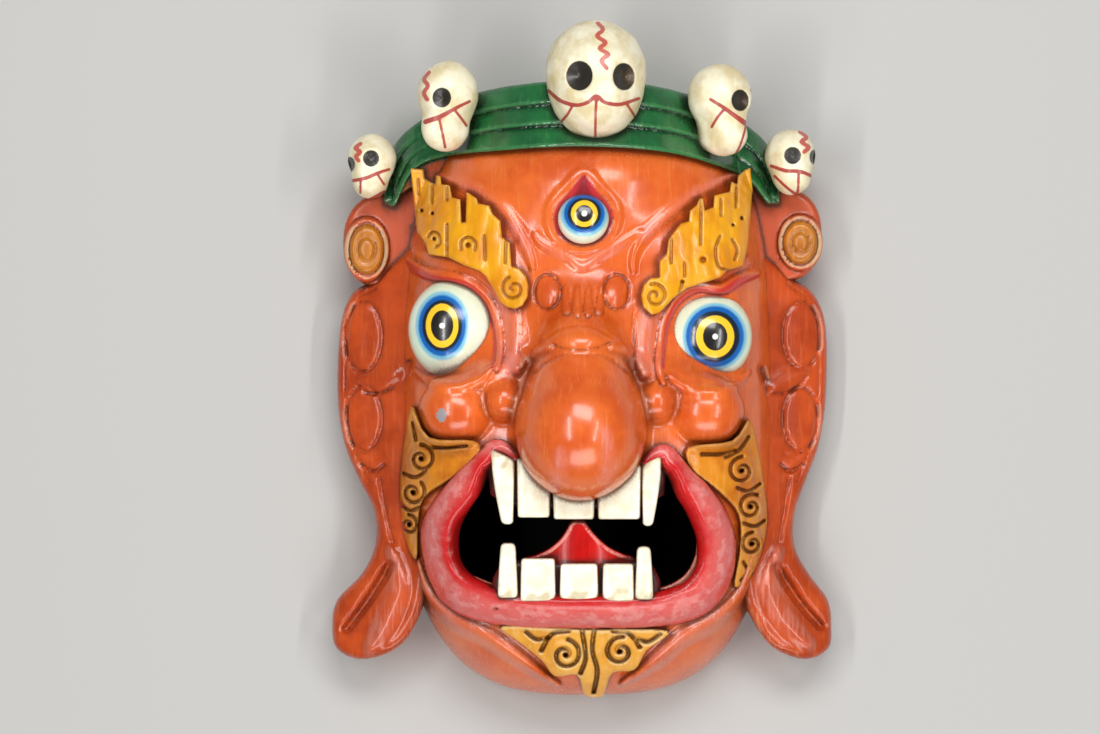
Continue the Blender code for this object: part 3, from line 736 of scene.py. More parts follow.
    def _zone_share(self, tree: bpy.types.NodeTree, fields: Dict[str, bpy.types.NodeSocket],
                    zone: Zone) -> bpy.types.NodeSocket:
        """Work out how much of a zone's colour covers what is below.

        Args:
            tree: The material's tree.
            fields: The shared patterns.
            zone: The zone.

        Returns:
            The zone's share.
        """
        value = add(tree, "ShaderNodeAttribute", attribute_name=zone.value).outputs["Fac"]
        stray = add(tree, "ShaderNodeMath", {0: fields["speck"], 1: 2.0 * zone.ragged, 2: value},
                    operation="MULTIPLY_ADD").outputs[0]
        middle, half = zone.edge + zone.ragged, 0.5 * zone.soft
        share = add(tree, "ShaderNodeMapRange", {0: stray, 1: middle + half, 2: middle - half,
                                                 4: zone.cover},
                    interpolation_type="SMOOTHSTEP").outputs[0]
        if zone.dry > 0.0:
            worked = add(tree, "ShaderNodeMath", {0: fields["patch"], 1: 0.9, 2: fields["streak"]},
                         operation="MULTIPLY_ADD").outputs[0]
            drag = add(tree, "ShaderNodeMapRange", {0: worked, 1: 0.78 + 0.12 * zone.dry, 2: 1.08},
                       interpolation_type="SMOOTHSTEP").outputs[0]
            gaps = add(tree, "ShaderNodeMath", {0: drag, 1: zone.dry, 2: 1.0 - zone.dry},
                       operation="MULTIPLY_ADD").outputs[0]
            share = add(tree, "ShaderNodeMath", {0: share, 1: gaps}, operation="MULTIPLY").outputs[0]
        return share

    def _bump(self, tree: bpy.types.NodeTree,
              fields: Dict[str, bpy.types.NodeSocket]) -> bpy.types.NodeSocket:
        """Brush strokes and fine unevenness of the paint.

        Args:
            tree: The material's tree.
            fields: The shared patterns.

        Returns:
            The bumped normal.
        """
        height = add(tree, "ShaderNodeMath", {0: fields["speck"], 1: 0.25, 2: fields["streak"]},
                     operation="MULTIPLY_ADD")
        bump = add(tree, "ShaderNodeBump", {"Strength": 0.16 * self.relief, "Distance": 0.4 * MM,
                                            "Height": height.outputs[0]})
        return bump.outputs[0]


# Oil paint on carved wood, brushed and varnished: warm orange with paler drag marks
ORANGE_PAINT = BrushedPaint(
    "brushed_orange_oil_paint", "#df6726", "#cd521a", "#e98748", wash_and_shade="#4a1a0a", wash_and_shade_cover=0.64, coat=0.28,
    zones=(
        # Rosy drag marks on brows, lids and jaw, and painted highlights streaking down the nose
        Zone("flush_and_highlight", "#e58d80", soft=8.0, ragged=1.5, cover=0.7, dry=0.6),
        Zone("tear", "#b5202f", soft=1.8, ragged=0.5, cover=0.92),
        Zone("tear_core", "#6e0f1c", soft=4.0, ragged=0.6, cover=0.75),
        Zone("lid", "#c02a2c", soft=1.6, ragged=0.5, cover=0.9, dry=0.2),
        Zone("chip", "#8f9599", soft=0.8, ragged=2.2, cover=0.9),
        Zone("mouth_red", "#9c1412", soft=1.5, ragged=0.5, cover=0.95),
        # Painted shade: the mouth's wall goes near black deep in the hole
        Zone("mouth_painted_shade", "#150b09", soft=3.0, ragged=0.5, cover=0.97),
    ),
)
# The same paint on the ears, duller and darker than on the face, with rosy drag marks and a painted
# highlight on the lobes
EAR_PAINT = BrushedPaint(
    "brushed_orange_oil_paint_darker", "#c24c1b", "#a63a12", "#d66e3c", wash_and_shade="#42170a", wash_and_shade_cover=0.75,
    coat=0.2, specular=0.35, zones=(Zone("flush_and_highlight", "#e0907e", soft=6.0, ragged=1.2, cover=0.4, dry=0.8),),
)
# Ochre oil paint over chalk on the chin: matt gold-brown with brown wash and painted shade in the cuts,
# mixed paler as painted light because the chin slopes away from the lamps
OCHRE_PAINT = BrushedPaint(
    "brushed_ochre_oil_paint", "#f0ae44", "#de962c", "#f6d084", wash_and_shade="#4a2106", worn="#f2d79a",
    worn_cover=0.4, roughness=0.34, coat=0.15, specular=0.35,
)
CHEEK_OCHRE_PAINT = BrushedPaint(
    "brushed_ochre_oil_paint_deep", "#d8861c", "#bb6212", "#e6ae4c", wash_and_shade="#4c1d08", wash_and_shade_cover=0.7,
    worn="#e2ac58", worn_cover=0.3, roughness=0.34, coat=0.15, specular=0.3,
)
# Chrome yellow oil paint, thick and glossy, drilled and cut, with brown wash and painted shade in the cuts
YELLOW_PAINT = BrushedPaint(
    "brushed_yellow_oil_paint", "#eaa310", "#da860c", "#f5c23a", wash_and_shade="#70300a", wash_and_shade_cover=0.6,
    worn="#f2cf70", worn_cover=0.25, roughness=0.28, coat=0.2, streaks=0.45,
)
# Green oil paint on the crown's boards, scuffed on its upper edges
GREEN_PAINT = BrushedPaint(
    "brushed_green_oil_paint", "#1c6a35", "#12502a", "#4c8f5b", wash_and_shade="#06200f", worn="#5d9a63",
    worn_cover=0.25, roughness=0.24, coat=0.4, streaks=0.3,
    zones=(Zone("scuff", "#7fa37a", soft=5.0, ragged=1.0, cover=0.45, dry=0.8),
           Zone("temple", "#c9541f", soft=1.0, ragged=0.5)),
)
# Bone-white oil paint on the skulls, yellowed, with red lines drawn by brush
BONE_PAINT = BrushedPaint(
    "brushed_bone_white_oil_paint", "#efe8cb", "#dac99b", "#faf5e0", wash_and_shade="#6b4a22", wash_and_shade_cover=0.75,
    patch_mm=12.0, worn="#fffbe8", worn_cover=0.2, roughness=0.36, coat=0.12, streaks=0.3,
    zones=(
        Zone("suture", "#bb302e", soft=0.5, ragged=0.25, cover=0.88),
        Zone("crease", "#a3191c", soft=0.5, ragged=0.2, cover=0.92),
        Zone("socket", "#120b09", soft=0.6, ragged=0.2, cover=0.98),
        Zone("stump", "#8a6a3c", soft=4.0, ragged=2.0, cover=0.8),
    ),
)
# Enamel-like eye paint: cream ball, blue and black rings, yellow iris, white glint
EYE_PAINT = BrushedPaint(
    "glossy_eye_enamel", "#e8f4e0", "#dcebcd", "#f5fbf0", wash_and_shade="#5a2018", wash_and_shade_cover=0.75, worn_cover=0.0,
    roughness=0.24, coat=0.45, streaks=0.2, relief=0.4,
    zones=(
        Zone("corner", "#d9404a", soft=4.5, ragged=0.8, cover=0.85),
        Zone("ring_fringe", "#62bce0", soft=1.8, ragged=0.3, cover=0.85),
        Zone("ring_blue", "#0a62b4", soft=1.5, ragged=0.3),
        Zone("ring_navy", "#16222e", soft=1.2, ragged=0.3),
        Zone("ring_yellow", "#f5c62a", soft=0.5, ragged=0.2),
        Zone("ring_black", "#191512", soft=0.5, ragged=0.2),
        Zone("glint", "#f6f6f0", soft=0.5, ragged=0.1),
    ),
)
# Rose paint dragged dry over red on the lips: chalky pink crests, red towards the mouth
LIP_PAINT = BrushedPaint(
    "dry_brushed_rose_oil_paint", "#dc5852", "#cd403a", "#e9938c", worn="#efb4ae", worn_cover=0.35,
    roughness=0.26, coat=0.2, specular=0.3, streaks=0.4, patch_mm=9.0, stroke_run=(0.3, 0.4, 0.35),
    zones=(
        Zone("chalk", "#f0a8a2", soft=9.0, ragged=1.4, cover=0.45, dry=0.75),
        Zone("inner", "#c01014", soft=8.0, ragged=1.0, cover=0.95),
        # Painted shade: dark red at the hole's edge, reaching further where the lip runs deeper
        Zone("inner_painted_shade", "#6a0c0c", soft=4.0, ragged=0.5, cover=0.8),
        Zone("outer_line", "#5a1d10", soft=0.9, ragged=0.3, cover=0.85),
    ),
)
# Ivory oil paint on the teeth, yellowed at the gums
TOOTH_PAINT = BrushedPaint(
    "brushed_ivory_oil_paint", "#fbf8e0", "#efe5c4", "#fdfbee", patch_mm=9.0, wash_and_shade="#6a3c1c",
    worn="#f8f3dc", worn_cover=0.2, roughness=0.28, coat=0.25, streaks=0.25,
    zones=(Zone("darkening", "#a88b4c", soft=6.0, ragged=2.0, cover=0.5),
           Zone("gap", "#4a150d", soft=0.8, ragged=0.2, cover=0.9)),
)
# Red oil paint on the tongue, with a rose line along its edges
TONGUE_PAINT = BrushedPaint(
    "brushed_red_oil_paint", "#cb1410", "#ad100d", "#da3a30", worn_cover=0.05, roughness=0.22, coat=0.1,
    specular=0.2, streaks=0.2,
    zones=(Zone("rose_edge", "#ee9a8e", soft=1.0, ragged=0.3, cover=0.9, dry=0.3),),
)
# Dark red paint on the gums; painted shade makes it almost black inside the mouth
GUM_PAINT = BrushedPaint(
    "brushed_dark_red_oil_paint", "#7a1a12", "#4e0f0b", "#93271c", wash_and_shade="#120605", worn_cover=0.05,
    roughness=0.45, coat=0.1, specular=0.3,
)
# The ear bosses: ochre knobs on orange blocks
BOSS_PAINT = BrushedPaint(
    "brushed_ochre_and_orange_oil_paint", "#be7416", "#a25c10", "#dda043", wash_and_shade="#4a2106", worn="#efd9a4",
    worn_cover=0.4, roughness=0.34, coat=0.15,
    zones=(Zone("block", "#c4522a", soft=1.2, ragged=0.5),),
)
# Carved wood left bare behind the mask: dull brown with long grain and dust
BARE_WOOD = BrushedPaint(
    "gouged_bare_wood", "#8d6a44", "#6f4f30", "#a98a62", wash_and_shade="#2c1a0d", worn="#b4956c", worn_cover=0.3,
    roughness=0.72, coat=0.0, streaks=0.6, relief=2.2, stroke_mm=1.8,
)


# The form that the pieces share


@dataclass(frozen=True)
class Swelling:
    """A broad rise or dent of the skin, smooth to its edge."""

    centre: Point
    radii: Point
    height: float

    def at(self, x: Array, y: Array) -> Array:
        """Height that it adds.

        Args:
            x, y: Places over the picture, in millimetres.

        Returns:
            The added height.
        """
        reach = ((x - self.centre[0]) / self.radii[0]) ** 2 + ((y - self.centre[1]) / self.radii[1]) ** 2
        return self.height * np.maximum(0.0, 1.0 - reach) ** 2


@dataclass(frozen=True)
class Knob:
    """A round form of the face: a stretched ball with the fillet at its foot."""

    centre: Place
    radii: Place
    fillet: float = 2.0
    turn: float = 0.0

    def law(self, x: Array, y: Array, z: Array) -> Array:
        """Distance to the knob.

        Args:
            x, y, z: Places, in millimetres.

        Returns:
            Signed distance.
        """
        return ball(x, y, z, self.centre, self.radii, self.turn)


@dataclass
class HeadForm:
    """The head under the paint: dome, swellings, nose and cheeks."""

    centre: Point = (3.0, -17.5)
    half: Point = (113.0, 182.0)
    depth: float = 102.0
    shoulder: float = 3.4
    power: float = 2.3
    swellings: Tuple[Swelling, ...] = (
        Swelling((1.0, 92.0), (88.0, 46.0), 8.0),
        Swelling((3.0, 128.0), (108.0, 56.0), 20.0),
        Swelling((0.0, -108.0), (100.0, 66.0), 13.0),
        Swelling((-58.0, 30.0), (34.0, 34.0), -9.0),
        Swelling((60.0, 26.0), (34.0, 34.0), -9.0),
        Swelling((0.0, 22.0), (34.0, 40.0), 10.0),
    )
    knobs: Tuple[Knob, ...] = (
        Knob((-54.0, -9.5, 92.0), (24.0, 10.0, 15.0), 7.0, 19.0),
        Knob((54.0, -10.0, 92.0), (24.0, 10.0, 15.0), 7.0, -19.0),
        Knob((-46.0, -22.0, 99.0), (11.5, 13.0, 15.0), 5.0),
        Knob((44.0, -23.0, 99.0), (11.5, 13.0, 15.0), 5.0),
        Knob((-74.0, -28.0, 90.0), (22.0, 20.5, 21.0), 4.0),
        Knob((72.5, -28.5, 90.0), (23.0, 21.0, 21.0), 4.0),
    )
    nose_bridge: Knob = Knob((-1.0, -4.0, 102.0), (27.0, 38.0, 34.0))
    nose_bulb: Knob = Knob((-1.0, -39.0, 110.0), (38.5, 42.0, 48.0))
    nose_fillet: float = 14.0
    nose_foot: float = 6.5
    wall: float = 18.0
    side_wall: float = 15.0
    crown_wall: float = 34.0
    chin_wall: float = 22.0
    hollow_shoulder: float = 6.0
    hollow_power: float = 2.5
    mouth_hole: Tuple[Point, ...] = (
        (-51, -60), (-61, -79), (-73, -95), (-75, -110), (-70, -122), (-58, -128), (-45, -132), (-20, -135),
        (15, -135), (42, -133), (53, -130), (62, -123), (67, -110), (65, -95), (57, -80), (46, -62),
        (-2, -70),
    )
    swell: Chart = field(init=False)
    height: Chart = field(init=False)
    mouth: Chart = field(init=False)

    def __post_init__(self) -> None:
        """Work out the charts that the laws read."""
        self.swell = Chart(lambda x, y: sum(one.at(x, y) for one in self.swellings))
        self.height = Chart(self._skin_height)
        outline = rounded_line(self.mouth_hole, closed=True, steps=4)
        self.mouth = Chart(lambda x, y: outline_distance(x, y, outline), (-100.0, -160.0), (100.0, -30.0))

    def reach(self, x: Array, y: Array, side: float = 0.0, crown: float = 0.0, chin: float = 0.0) -> Array:
        """Share of the way from the head's centre to its outline.

        Args:
            x, y: Places over the picture, in millimetres.
            side: Inset at the sides.
            crown: Inset at the top.
            chin: Inset at the chin.

        Returns:
            The share, 1 on the outline.
        """
        across = np.abs(x - self.centre[0]) / (self.half[0] - side)
        tall = np.where(y > self.centre[1], self.half[1] - crown, self.half[1] - chin)
        along = np.abs(y - self.centre[1]) / tall
        return np.cbrt(across ** 3 + along ** 3)

    def _skin_height(self, x: Array, y: Array) -> Array:
        """Height of the skin above the rim, without nose and cheeks.

        Args:
            x, y: Places over the picture, in millimetres.

        Returns:
            The height.
        """
        reach = np.minimum(self.reach(x, y), 1.0)
        dome = self.depth * (1.0 - reach ** self.shoulder) ** (1.0 / self.power)
        return dome + sum(one.at(x, y) for one in self.swellings)

    def _shell(self, reach: Array, rise: Array, slope: Tuple[float, float], shoulder: float,
               power: float) -> Array:
        """Distance to a dome given by its two shares.

        Args:
            reach: Share of the way to the outline.
            rise: Share of the full height.
            slope: Growth of the two shares for each millimetre.
            shoulder: How square the dome's shoulder is.
            power: How round its top is.

        Returns:
            Signed distance, close to true near the surface.
        """
        rise = np.maximum(rise, 0.0)
        value = reach ** shoulder + rise ** power - 1.0
        steep = shoulder * np.maximum(reach, 1e-3) ** (shoulder - 1.0) * slope[0]
        lifted = power * np.maximum(rise, 1e-3) ** (power - 1.0) * slope[1]
        return value / np.maximum(np.hypot(steep, lifted), 0.008)

    def dome(self, x: Array, y: Array, z: Array) -> Array:
        """Distance to the head's plain dome with its swellings.

        Args:
            x, y, z: Places, in millimetres.

        Returns:
            Signed distance.
        """
        reach = self.reach(x, y)
        u = ((x - self.centre[0]) / self.half[0]) ** 2
        v = ((y - self.centre[1]) / self.half[1]) ** 2
        spread = np.maximum(reach, 1e-3) ** 2
        slope = np.hypot(u / spread / self.half[0], v / spread / self.half[1])
        return self._shell(reach, (z - self.swell.at(x, y)) / self.depth, (slope, 1.0 / self.depth),
                           self.shoulder, self.power)

    def cheeks(self, x: Array, y: Array, z: Array) -> Array:
        """Distance to the head with its cheeks, without the nose.

        Args:
            x, y, z: Places, in millimetres.

        Returns:
            Signed distance.
        """
        form = self.dome(x, y, z)
        for knob in self.knobs:
            form = smooth_min(form, knob.law(x, y, z), knob.fillet)
        return form

    def nose(self, x: Array, y: Array, z: Array) -> Array:
        """Distance to the nose, bridge and bulb in one swelling form.

        Args:
            x, y, z: Places, in millimetres.

        Returns:
            Signed distance.
        """
        return smooth_min(self.nose_bridge.law(x, y, z), self.nose_bulb.law(x, y, z), self.nose_fillet)

    def flesh(self, x: Array, y: Array, z: Array) -> Array:
        """Distance to the head with nose and cheeks, before any fine carving.

        Args:
            x, y, z: Places, in millimetres.

        Returns:
            Signed distance.
        """
        return smooth_min(self.cheeks(x, y, z), self.nose(x, y, z), self.nose_foot)

    def hollow(self, x: Array, y: Array, z: Array) -> Array:
        """Distance to the hollow behind the face.

        Args:
            x, y, z: Places, in millimetres.

        Returns:
            Signed distance, negative in the hollow.
        """
        reach = self.reach(x, y, self.side_wall, self.crown_wall, self.chin_wall)
        top = np.maximum(self.height.at(x, y) - self.wall, 12.0)
        steep = 1.0 / (self.half[0] - self.side_wall)
        return self._shell(reach, z / top, (steep, 1.0 / top), self.hollow_shoulder, self.hollow_power)


# The pieces


class ToothKind(Enum):
    """How a tooth ends."""

    CUTTER = "straight edge"
    FANG = "point"


@dataclass
class Carving:
    """One piece of the mask: a distance law, its limits, its cell and its finish."""

    name: str
    finish: BrushedPaint
    cell: float
    low: Place
    high: Place

    def law(self, x: Array, y: Array, z: Array) -> Array:
        """Signed distance to the piece."""
        raise NotImplementedError

    def zones(self, x: Array, y: Array, z: Array) -> Dict[str, Array]:
        """Painted fields as distances on the mesh, none unless the piece has some."""
        return {}

    def keeps(self, middles: Array) -> Optional[Array]:
        """Faces to keep, all of them unless the piece is an open skin."""
        return None

    def chart(self, law: Callable[[Array, Array], Array], pitch: float = Chart.PITCH) -> Chart:
        """Chart a law over the piece's own part of the picture."""
        return Chart(law, self.low[:2], self.high[:2], pitch)

    def build(self) -> Tuple[bpy.types.Object, Array, Array]:
        """Net the piece.

        Returns:
            The object, its points in millimetres and their outward directions.
        """
        netting = Netting(self.law, self.low, self.high, self.cell)
        points, faces = netting.net()
        kept = self.keeps(points[faces].mean(axis=1))
        if kept is not None:
            faces = faces[kept]
            used, inverse = np.unique(faces, return_inverse=True)
            points, faces = points[used], inverse.reshape(faces.shape)
        outward = netting.slope(points, self.law(*points.T))
        outward /= np.maximum(np.linalg.norm(outward, axis=1, keepdims=True), 1e-6)
        return new_piece(self.name, points, faces), points, outward

    def dress(self, piece: bpy.types.Object, points: Array, outward: Array, around: Law) -> None:
        """Keep brown wash with painted shade, wear and painted zones on the mesh and give it its paint.

        Args:
            piece: The object.
            points: Its points in millimetres.
            outward: Their outward directions.
            around: Distance to the whole mask.
        """
        # Painted shade: darker wherever another surface lies near, in cuts, creases and between parts, over
        # the brown wash in the cuts
        wash_and_shade = np.zeros(len(points))
        for height, share in WASH_AND_SHADE_LOOKS:
            room = around(*(points + outward * height).T)
            wash_and_shade += share * np.clip(1.0 - room / height, 0.0, 1.0)
        behind = self.law(*(points - outward * WEAR_DEPTH).T)
        wear = np.clip(1.0 + behind / WEAR_DEPTH, 0.0, 1.0)
        values = {"wash_and_shade": wash_and_shade, "wear": wear}
        values.update(self.zones(*points.T))
        keep_values(piece, values)
        piece.data.materials.append(self.finish.material())
        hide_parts(NODE)
        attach(piece, BODY)


@dataclass
class WoodCore(Carving):
    """The block behind the paint, with the hollow, bare at the back."""

    head: HeadForm = field(default_factory=HeadForm)
    inset: float = 4.5

    def law(self, x: Array, y: Array, z: Array) -> Array:
        """Distance to the hollowed block.

        Args:
            x, y, z: Places, in millimetres.

        Returns:
            Signed distance.
        """
        block = np.maximum(self.head.flesh(x, y, z) + self.inset, 0.4 - z)
        block = np.maximum(block, -self.head.hollow(x, y, z))
        mouth = np.where(z > 44.0, self.head.mouth.at(x, y) - self.inset, 50.0)
        return np.maximum(block, -mouth)


@dataclass
class FaceSkin(Carving):
    """The painted front of the head, with all the carving in its skin."""

    head: HeadForm = field(default_factory=HeadForm)
    brow_ridges: Tuple[Tuple[Place, ...], ...] = (
        ((-96, 112, 4), (-77, 107, 5), (-62, 101, 5.5), (-48, 91, 5.5), (-39, 79, 5), (-32, 66, 4.5),
         (-29, 55, 3)),
        ((-28, 74, 3), (-25, 70, 4), (-18, 66, 4), (-9, 61, 4), (0, 56, 4.5), (10, 61, 4), (21, 68, 4),
         (33, 76, 4)),
        ((99, 114, 4), (82, 107, 5), (65, 98, 5.5), (47, 84, 5.5), (35, 72, 5), (30, 61, 4), (30, 53, 3)),
    )
    tear_rim: Tuple[Place, ...] = (
        (1, 112, 3), (11, 102, 3), (19, 93, 3), (21, 84, 3), (17, 74, 3), (9, 68, 3), (0, 66, 3),
        (-9, 68, 3), (-17, 74, 3), (-20, 84, 3), (-18, 93, 3), (-10, 102, 3),
    )
    tear: Tuple[Point, ...] = (
        (1, 109), (9, 99), (16, 91), (18, 83), (14, 74), (8, 70), (0, 69), (-8, 70), (-14, 74), (-17, 83),
        (-15, 91), (-8, 99),
    )
    lids: Tuple[Tuple[Place, ...], ...] = (
        ((-105, 61.5, 2.5), (-97, 55, 3.6), (-88, 51.5, 3.8), (-76, 50, 3.8), (-64.5, 45.5, 3.6),
         (-55, 36, 3.4), (-49.8, 22.5, 3), (-48.3, 8, 2.6), (-50, -4, 2)),
        ((104, 53, 2.5), (93, 49.5, 3.8), (82, 43.5, 3.8), (67, 44.5, 3.8), (55.2, 36.5, 3.6),
         (48.5, 23.5, 3.2), (45.8, 9, 2.8), (44.8, -4, 2.6), (47.5, -12, 2)),
    )
    lid_folds: Tuple[Tuple[Place, ...], ...] = (
        ((-98, 64, 5), (-82, 61, 9), (-63, 56, 10), (-49, 45, 10), (-41, 28, 9), (-39, 12, 8.5),
         (-39, -2, 7)),
        ((98, 60, 5), (84, 56, 9), (66, 53, 10), (51, 45, 10), (40, 28, 9), (36, 10, 8.5), (37, -6, 7)),
    )
    lid_bands: Tuple[Tuple[Place, ...], ...] = (
        ((-105, 60, 1.2), (-98, 54, 2.6), (-88, 49, 2.2), (-76, 47.3, 2), (-65, 43, 1.8),
         (-57.5, 34.3, 1.5), (-52.6, 22, 1.3), (-51, 8, 1.2), (-53, -3, 1)),
        ((104, 51, 1.2), (93, 47, 2.6), (82, 40.8, 2.4), (67.3, 41.6, 2), (56.3, 34.5, 1.7),
         (50.7, 23, 1.4), (48, 9, 1.3), (47.2, -3, 1.1)),
    )
    lower_lids: Tuple[Tuple[Place, ...], ...] = (
        ((-99, -5, 3), (-88, -12, 5), (-74, -14, 5), (-61, -11, 5), (-53, -3, 3)),
        ((98, -6, 3), (88, -15, 5), (74, -17, 5), (60, -15, 5), (51, -8, 3)),
    )
    bridge_cords: Tuple[Tuple[Place, ...], ...] = (
        ((-10, 44, 1.2), (-10, 37, 2.4), (-9.6, 30, 2.8)),
        ((-3.2, 44, 1.2), (-3.2, 37, 2.4), (-3, 29, 2.8)),
        ((3.6, 44, 1.2), (3.6, 37, 2.4), (3.4, 29, 2.8)), ((11, 44, 1.2), (11, 37, 2.4), (10, 30, 2.8)),
    )
    wrinkles: Tuple[Tuple[Place, ...], ...] = (
        ((-21, 13, 4), (-12, 14, 8), (-2, 14, 9.5), (8, 14, 8), (17, 13, 4)),
        ((-20, 9, 4), (-30, 5, 6), (-38, -4, 5)), ((18, 9, 4), (28, 5, 6), (36, -6, 5)),
    )
    wrinkle_cuts: Tuple[Tuple[Point, ...], ...] = (
        ((-25, 11), (-13, 19.5), (-2, 21.5), (9, 19.5), (21, 11)),
        ((-22, 12), (-12, 8), (-2, 6.6), (8, 8), (18, 12)),
        ((-28, -6), (-15, 2.6), (-1, 4.4), (13, 2.6), (26, -6)),
        ((-36, 37), (-36, 16), (-37, -2)), ((30, 28), (30, 10), (31, -5)),
    )
    discs: Tuple[Point, ...] = ((-20.5, 41.0), (20.0, 41.0))
    disc_radii: Point = (7.6, 10.3)
    jaw_rolls: Tuple[Tuple[Place, ...], ...] = (
        ((-97, -118, 2), (-91, -137, 6), (-76, -152, 8), (-56, -162, 8), (-36, -176, 7), (-14, -192, 3)),
        ((101, -114, 2), (93, -137, 6), (78, -152, 8), (60, -162, 8), (44, -176, 7), (24, -191, 3)),
    )
    side_cuts: Tuple[Tuple[Point, ...], ...] = (
        ((-102, 0), (-110, -16), (-114, -26), (-113, -60), (-112, -110)),
        ((106, -4), (113, -24), (119, -48), (118, -80), (117, -110)),
    )
    # Lines of rosy drag marks; the two down the nose are painted highlights
    flush_and_highlight_lines: Tuple[Tuple[Place, ...], ...] = (
        ((-92, -134, 1), (-78, -147, 3), (-60, -156, 3), (-42, -167, 2), (-28, -176, 1)),
        ((93, -134, 1), (80, -147, 3), (64, -157, 3.5), (50, -167, 3), (36, -178, 1)),
        ((-46, 42, 4), (-44, 28, 6.5), (-43.5, 8, 7), (-44, -3, 6)),
        ((39, 28, 5), (38, 12, 7.5), (37.5, -3, 7)),
        ((-13, -52, 2), (-15, -68, 4), (-17, -76, 2)), ((13, -40, 2), (15, -60, 4), (13, -76, 3)),
        ((-96, 112, 1), (-62, 100, 2), (-40, 78, 2.4), (-30, 62, 2)),
        ((99, 114, 1), (65, 98, 2), (36, 74, 2.4)),
        ((-22, 68, 1), (-10, 62, 2), (0, 56, 2.6), (11, 62, 2), (24, 69, 1)),
    )
    chip_place: Point = (-82.5, -31.0)
    nose_floor: float = 84.0
    relief: Relief = field(init=False)

    def __post_init__(self) -> None:
        """Carve the relief chart."""
        carved = Relief()
        for line, height in zip(self.brow_ridges, (2.2, 1.4, 2.2)):
            carved.ridge(line, height, soft=True)
        carved.ridge(self.tear_rim, 1.1, closed=True)
        for line in self.lid_folds:
            carved.ridge(line, 3.0, soft=True)
        for line in self.lids:
            carved.ridge(line, 2.8)
        for line in self.lower_lids:
            carved.ridge(line, 2.2, soft=True)
        for line in self.bridge_cords:
            carved.ridge(line, 1.9)
        for line in self.wrinkles:
            carved.ridge(line, 2.6, soft=True)
        for line in self.jaw_rolls:
            carved.ridge(line, 5.0, soft=True)
        for centre in self.discs:
            carved.dish(centre, self.disc_radii, 2.6)
            ring = [(centre[0] + self.disc_radii[0] * math.cos(t),
                     centre[1] + self.disc_radii[1] * math.sin(t))
                    for t in np.linspace(0.0, 2.0 * math.pi, 25)]
            carved.groove(np.array(ring), 1.4, 1.5)
        for line in self.wrinkle_cuts:
            carved.groove(rounded_line(line), 1.5, 0.9)
        for line in self.side_cuts:
            carved.groove(rounded_line(line), 3.0, 3.4)
        self.relief = carved

    def law(self, x: Array, y: Array, z: Array) -> Array:
        """Distance to the painted head.

        Args:
            x, y, z: Places, in millimetres.

        Returns:
            Signed distance.
        """
        carved = self.relief.at(x, y) + 0.25 * ripple(x, y, z, 28.0, 3)
        skin = smooth_max(self.head.cheeks(x, y, z) - carved, -self.head.mouth.at(x, y), 2.0)
        nose = np.maximum(self.head.nose(x, y, z) - carved, self.nose_floor - z)
        return np.maximum(smooth_min(skin, nose, self.head.nose_foot), -z)

    def keeps(self, middles: Array) -> Array:
        """Keep the outer skin, the mouth's wall and a narrow band round the rim.

        Args:
            middles: Middles of the faces.

        Returns:
            True for each face to keep.
        """
        x, y, z = middles.T
        under = (z < 0.5) & (self.head.dome(x, y, z) < -6.0)
        sunk = (z < 60.0) & (self.head.mouth.at(x, y) < 12.0)
        return ~(under | sunk | (y > 136.0))

    def zones(self, x: Array, y: Array, z: Array) -> Dict[str, Array]:
        """Red lids, the third eye's surround, rosy drag marks and painted highlights, the chip, and painted
        shade in the mouth.

        Args:
            x, y, z: Places, in millimetres.

        Returns:
            Name to distances, negative in the zone.
        """
        tear = outline_distance(x, y, rounded_line(self.tear, closed=True))
        flush_and_highlight = np.min([line_distance(x, y, rounded_line(line)) for line in self.flush_and_highlight_lines], axis=0)
        bands = [rounded_line(line) for line in self.lid_bands]
        lid = np.min([line_distance(x, y, band) for band in bands], axis=0)
        core = line_distance(x, y, rounded_line(((1, 108, 1), (0.5, 102, 3), (0.5, 96, 6))))
        chip = np.hypot((x - self.chip_place[0]) / 1.0, (y - self.chip_place[1]) / 1.3) - 3.0
        # Painted shade: the mouth's wall below 80 mm goes near black
        mouth = np.where(self.head.mouth.at(x, y) < 1.5, z - 80.0, 30.0)
        return {
            "tear": tear, "tear_core": core, "flush_and_highlight": flush_and_highlight, "lid": lid,
            "chip": chip, "mouth_painted_shade": mouth,
            "mouth_red": np.where(self.head.nose(x, y, z) < 4.0, 30.0, self.head.mouth.at(x, y) - 3.0),
        }


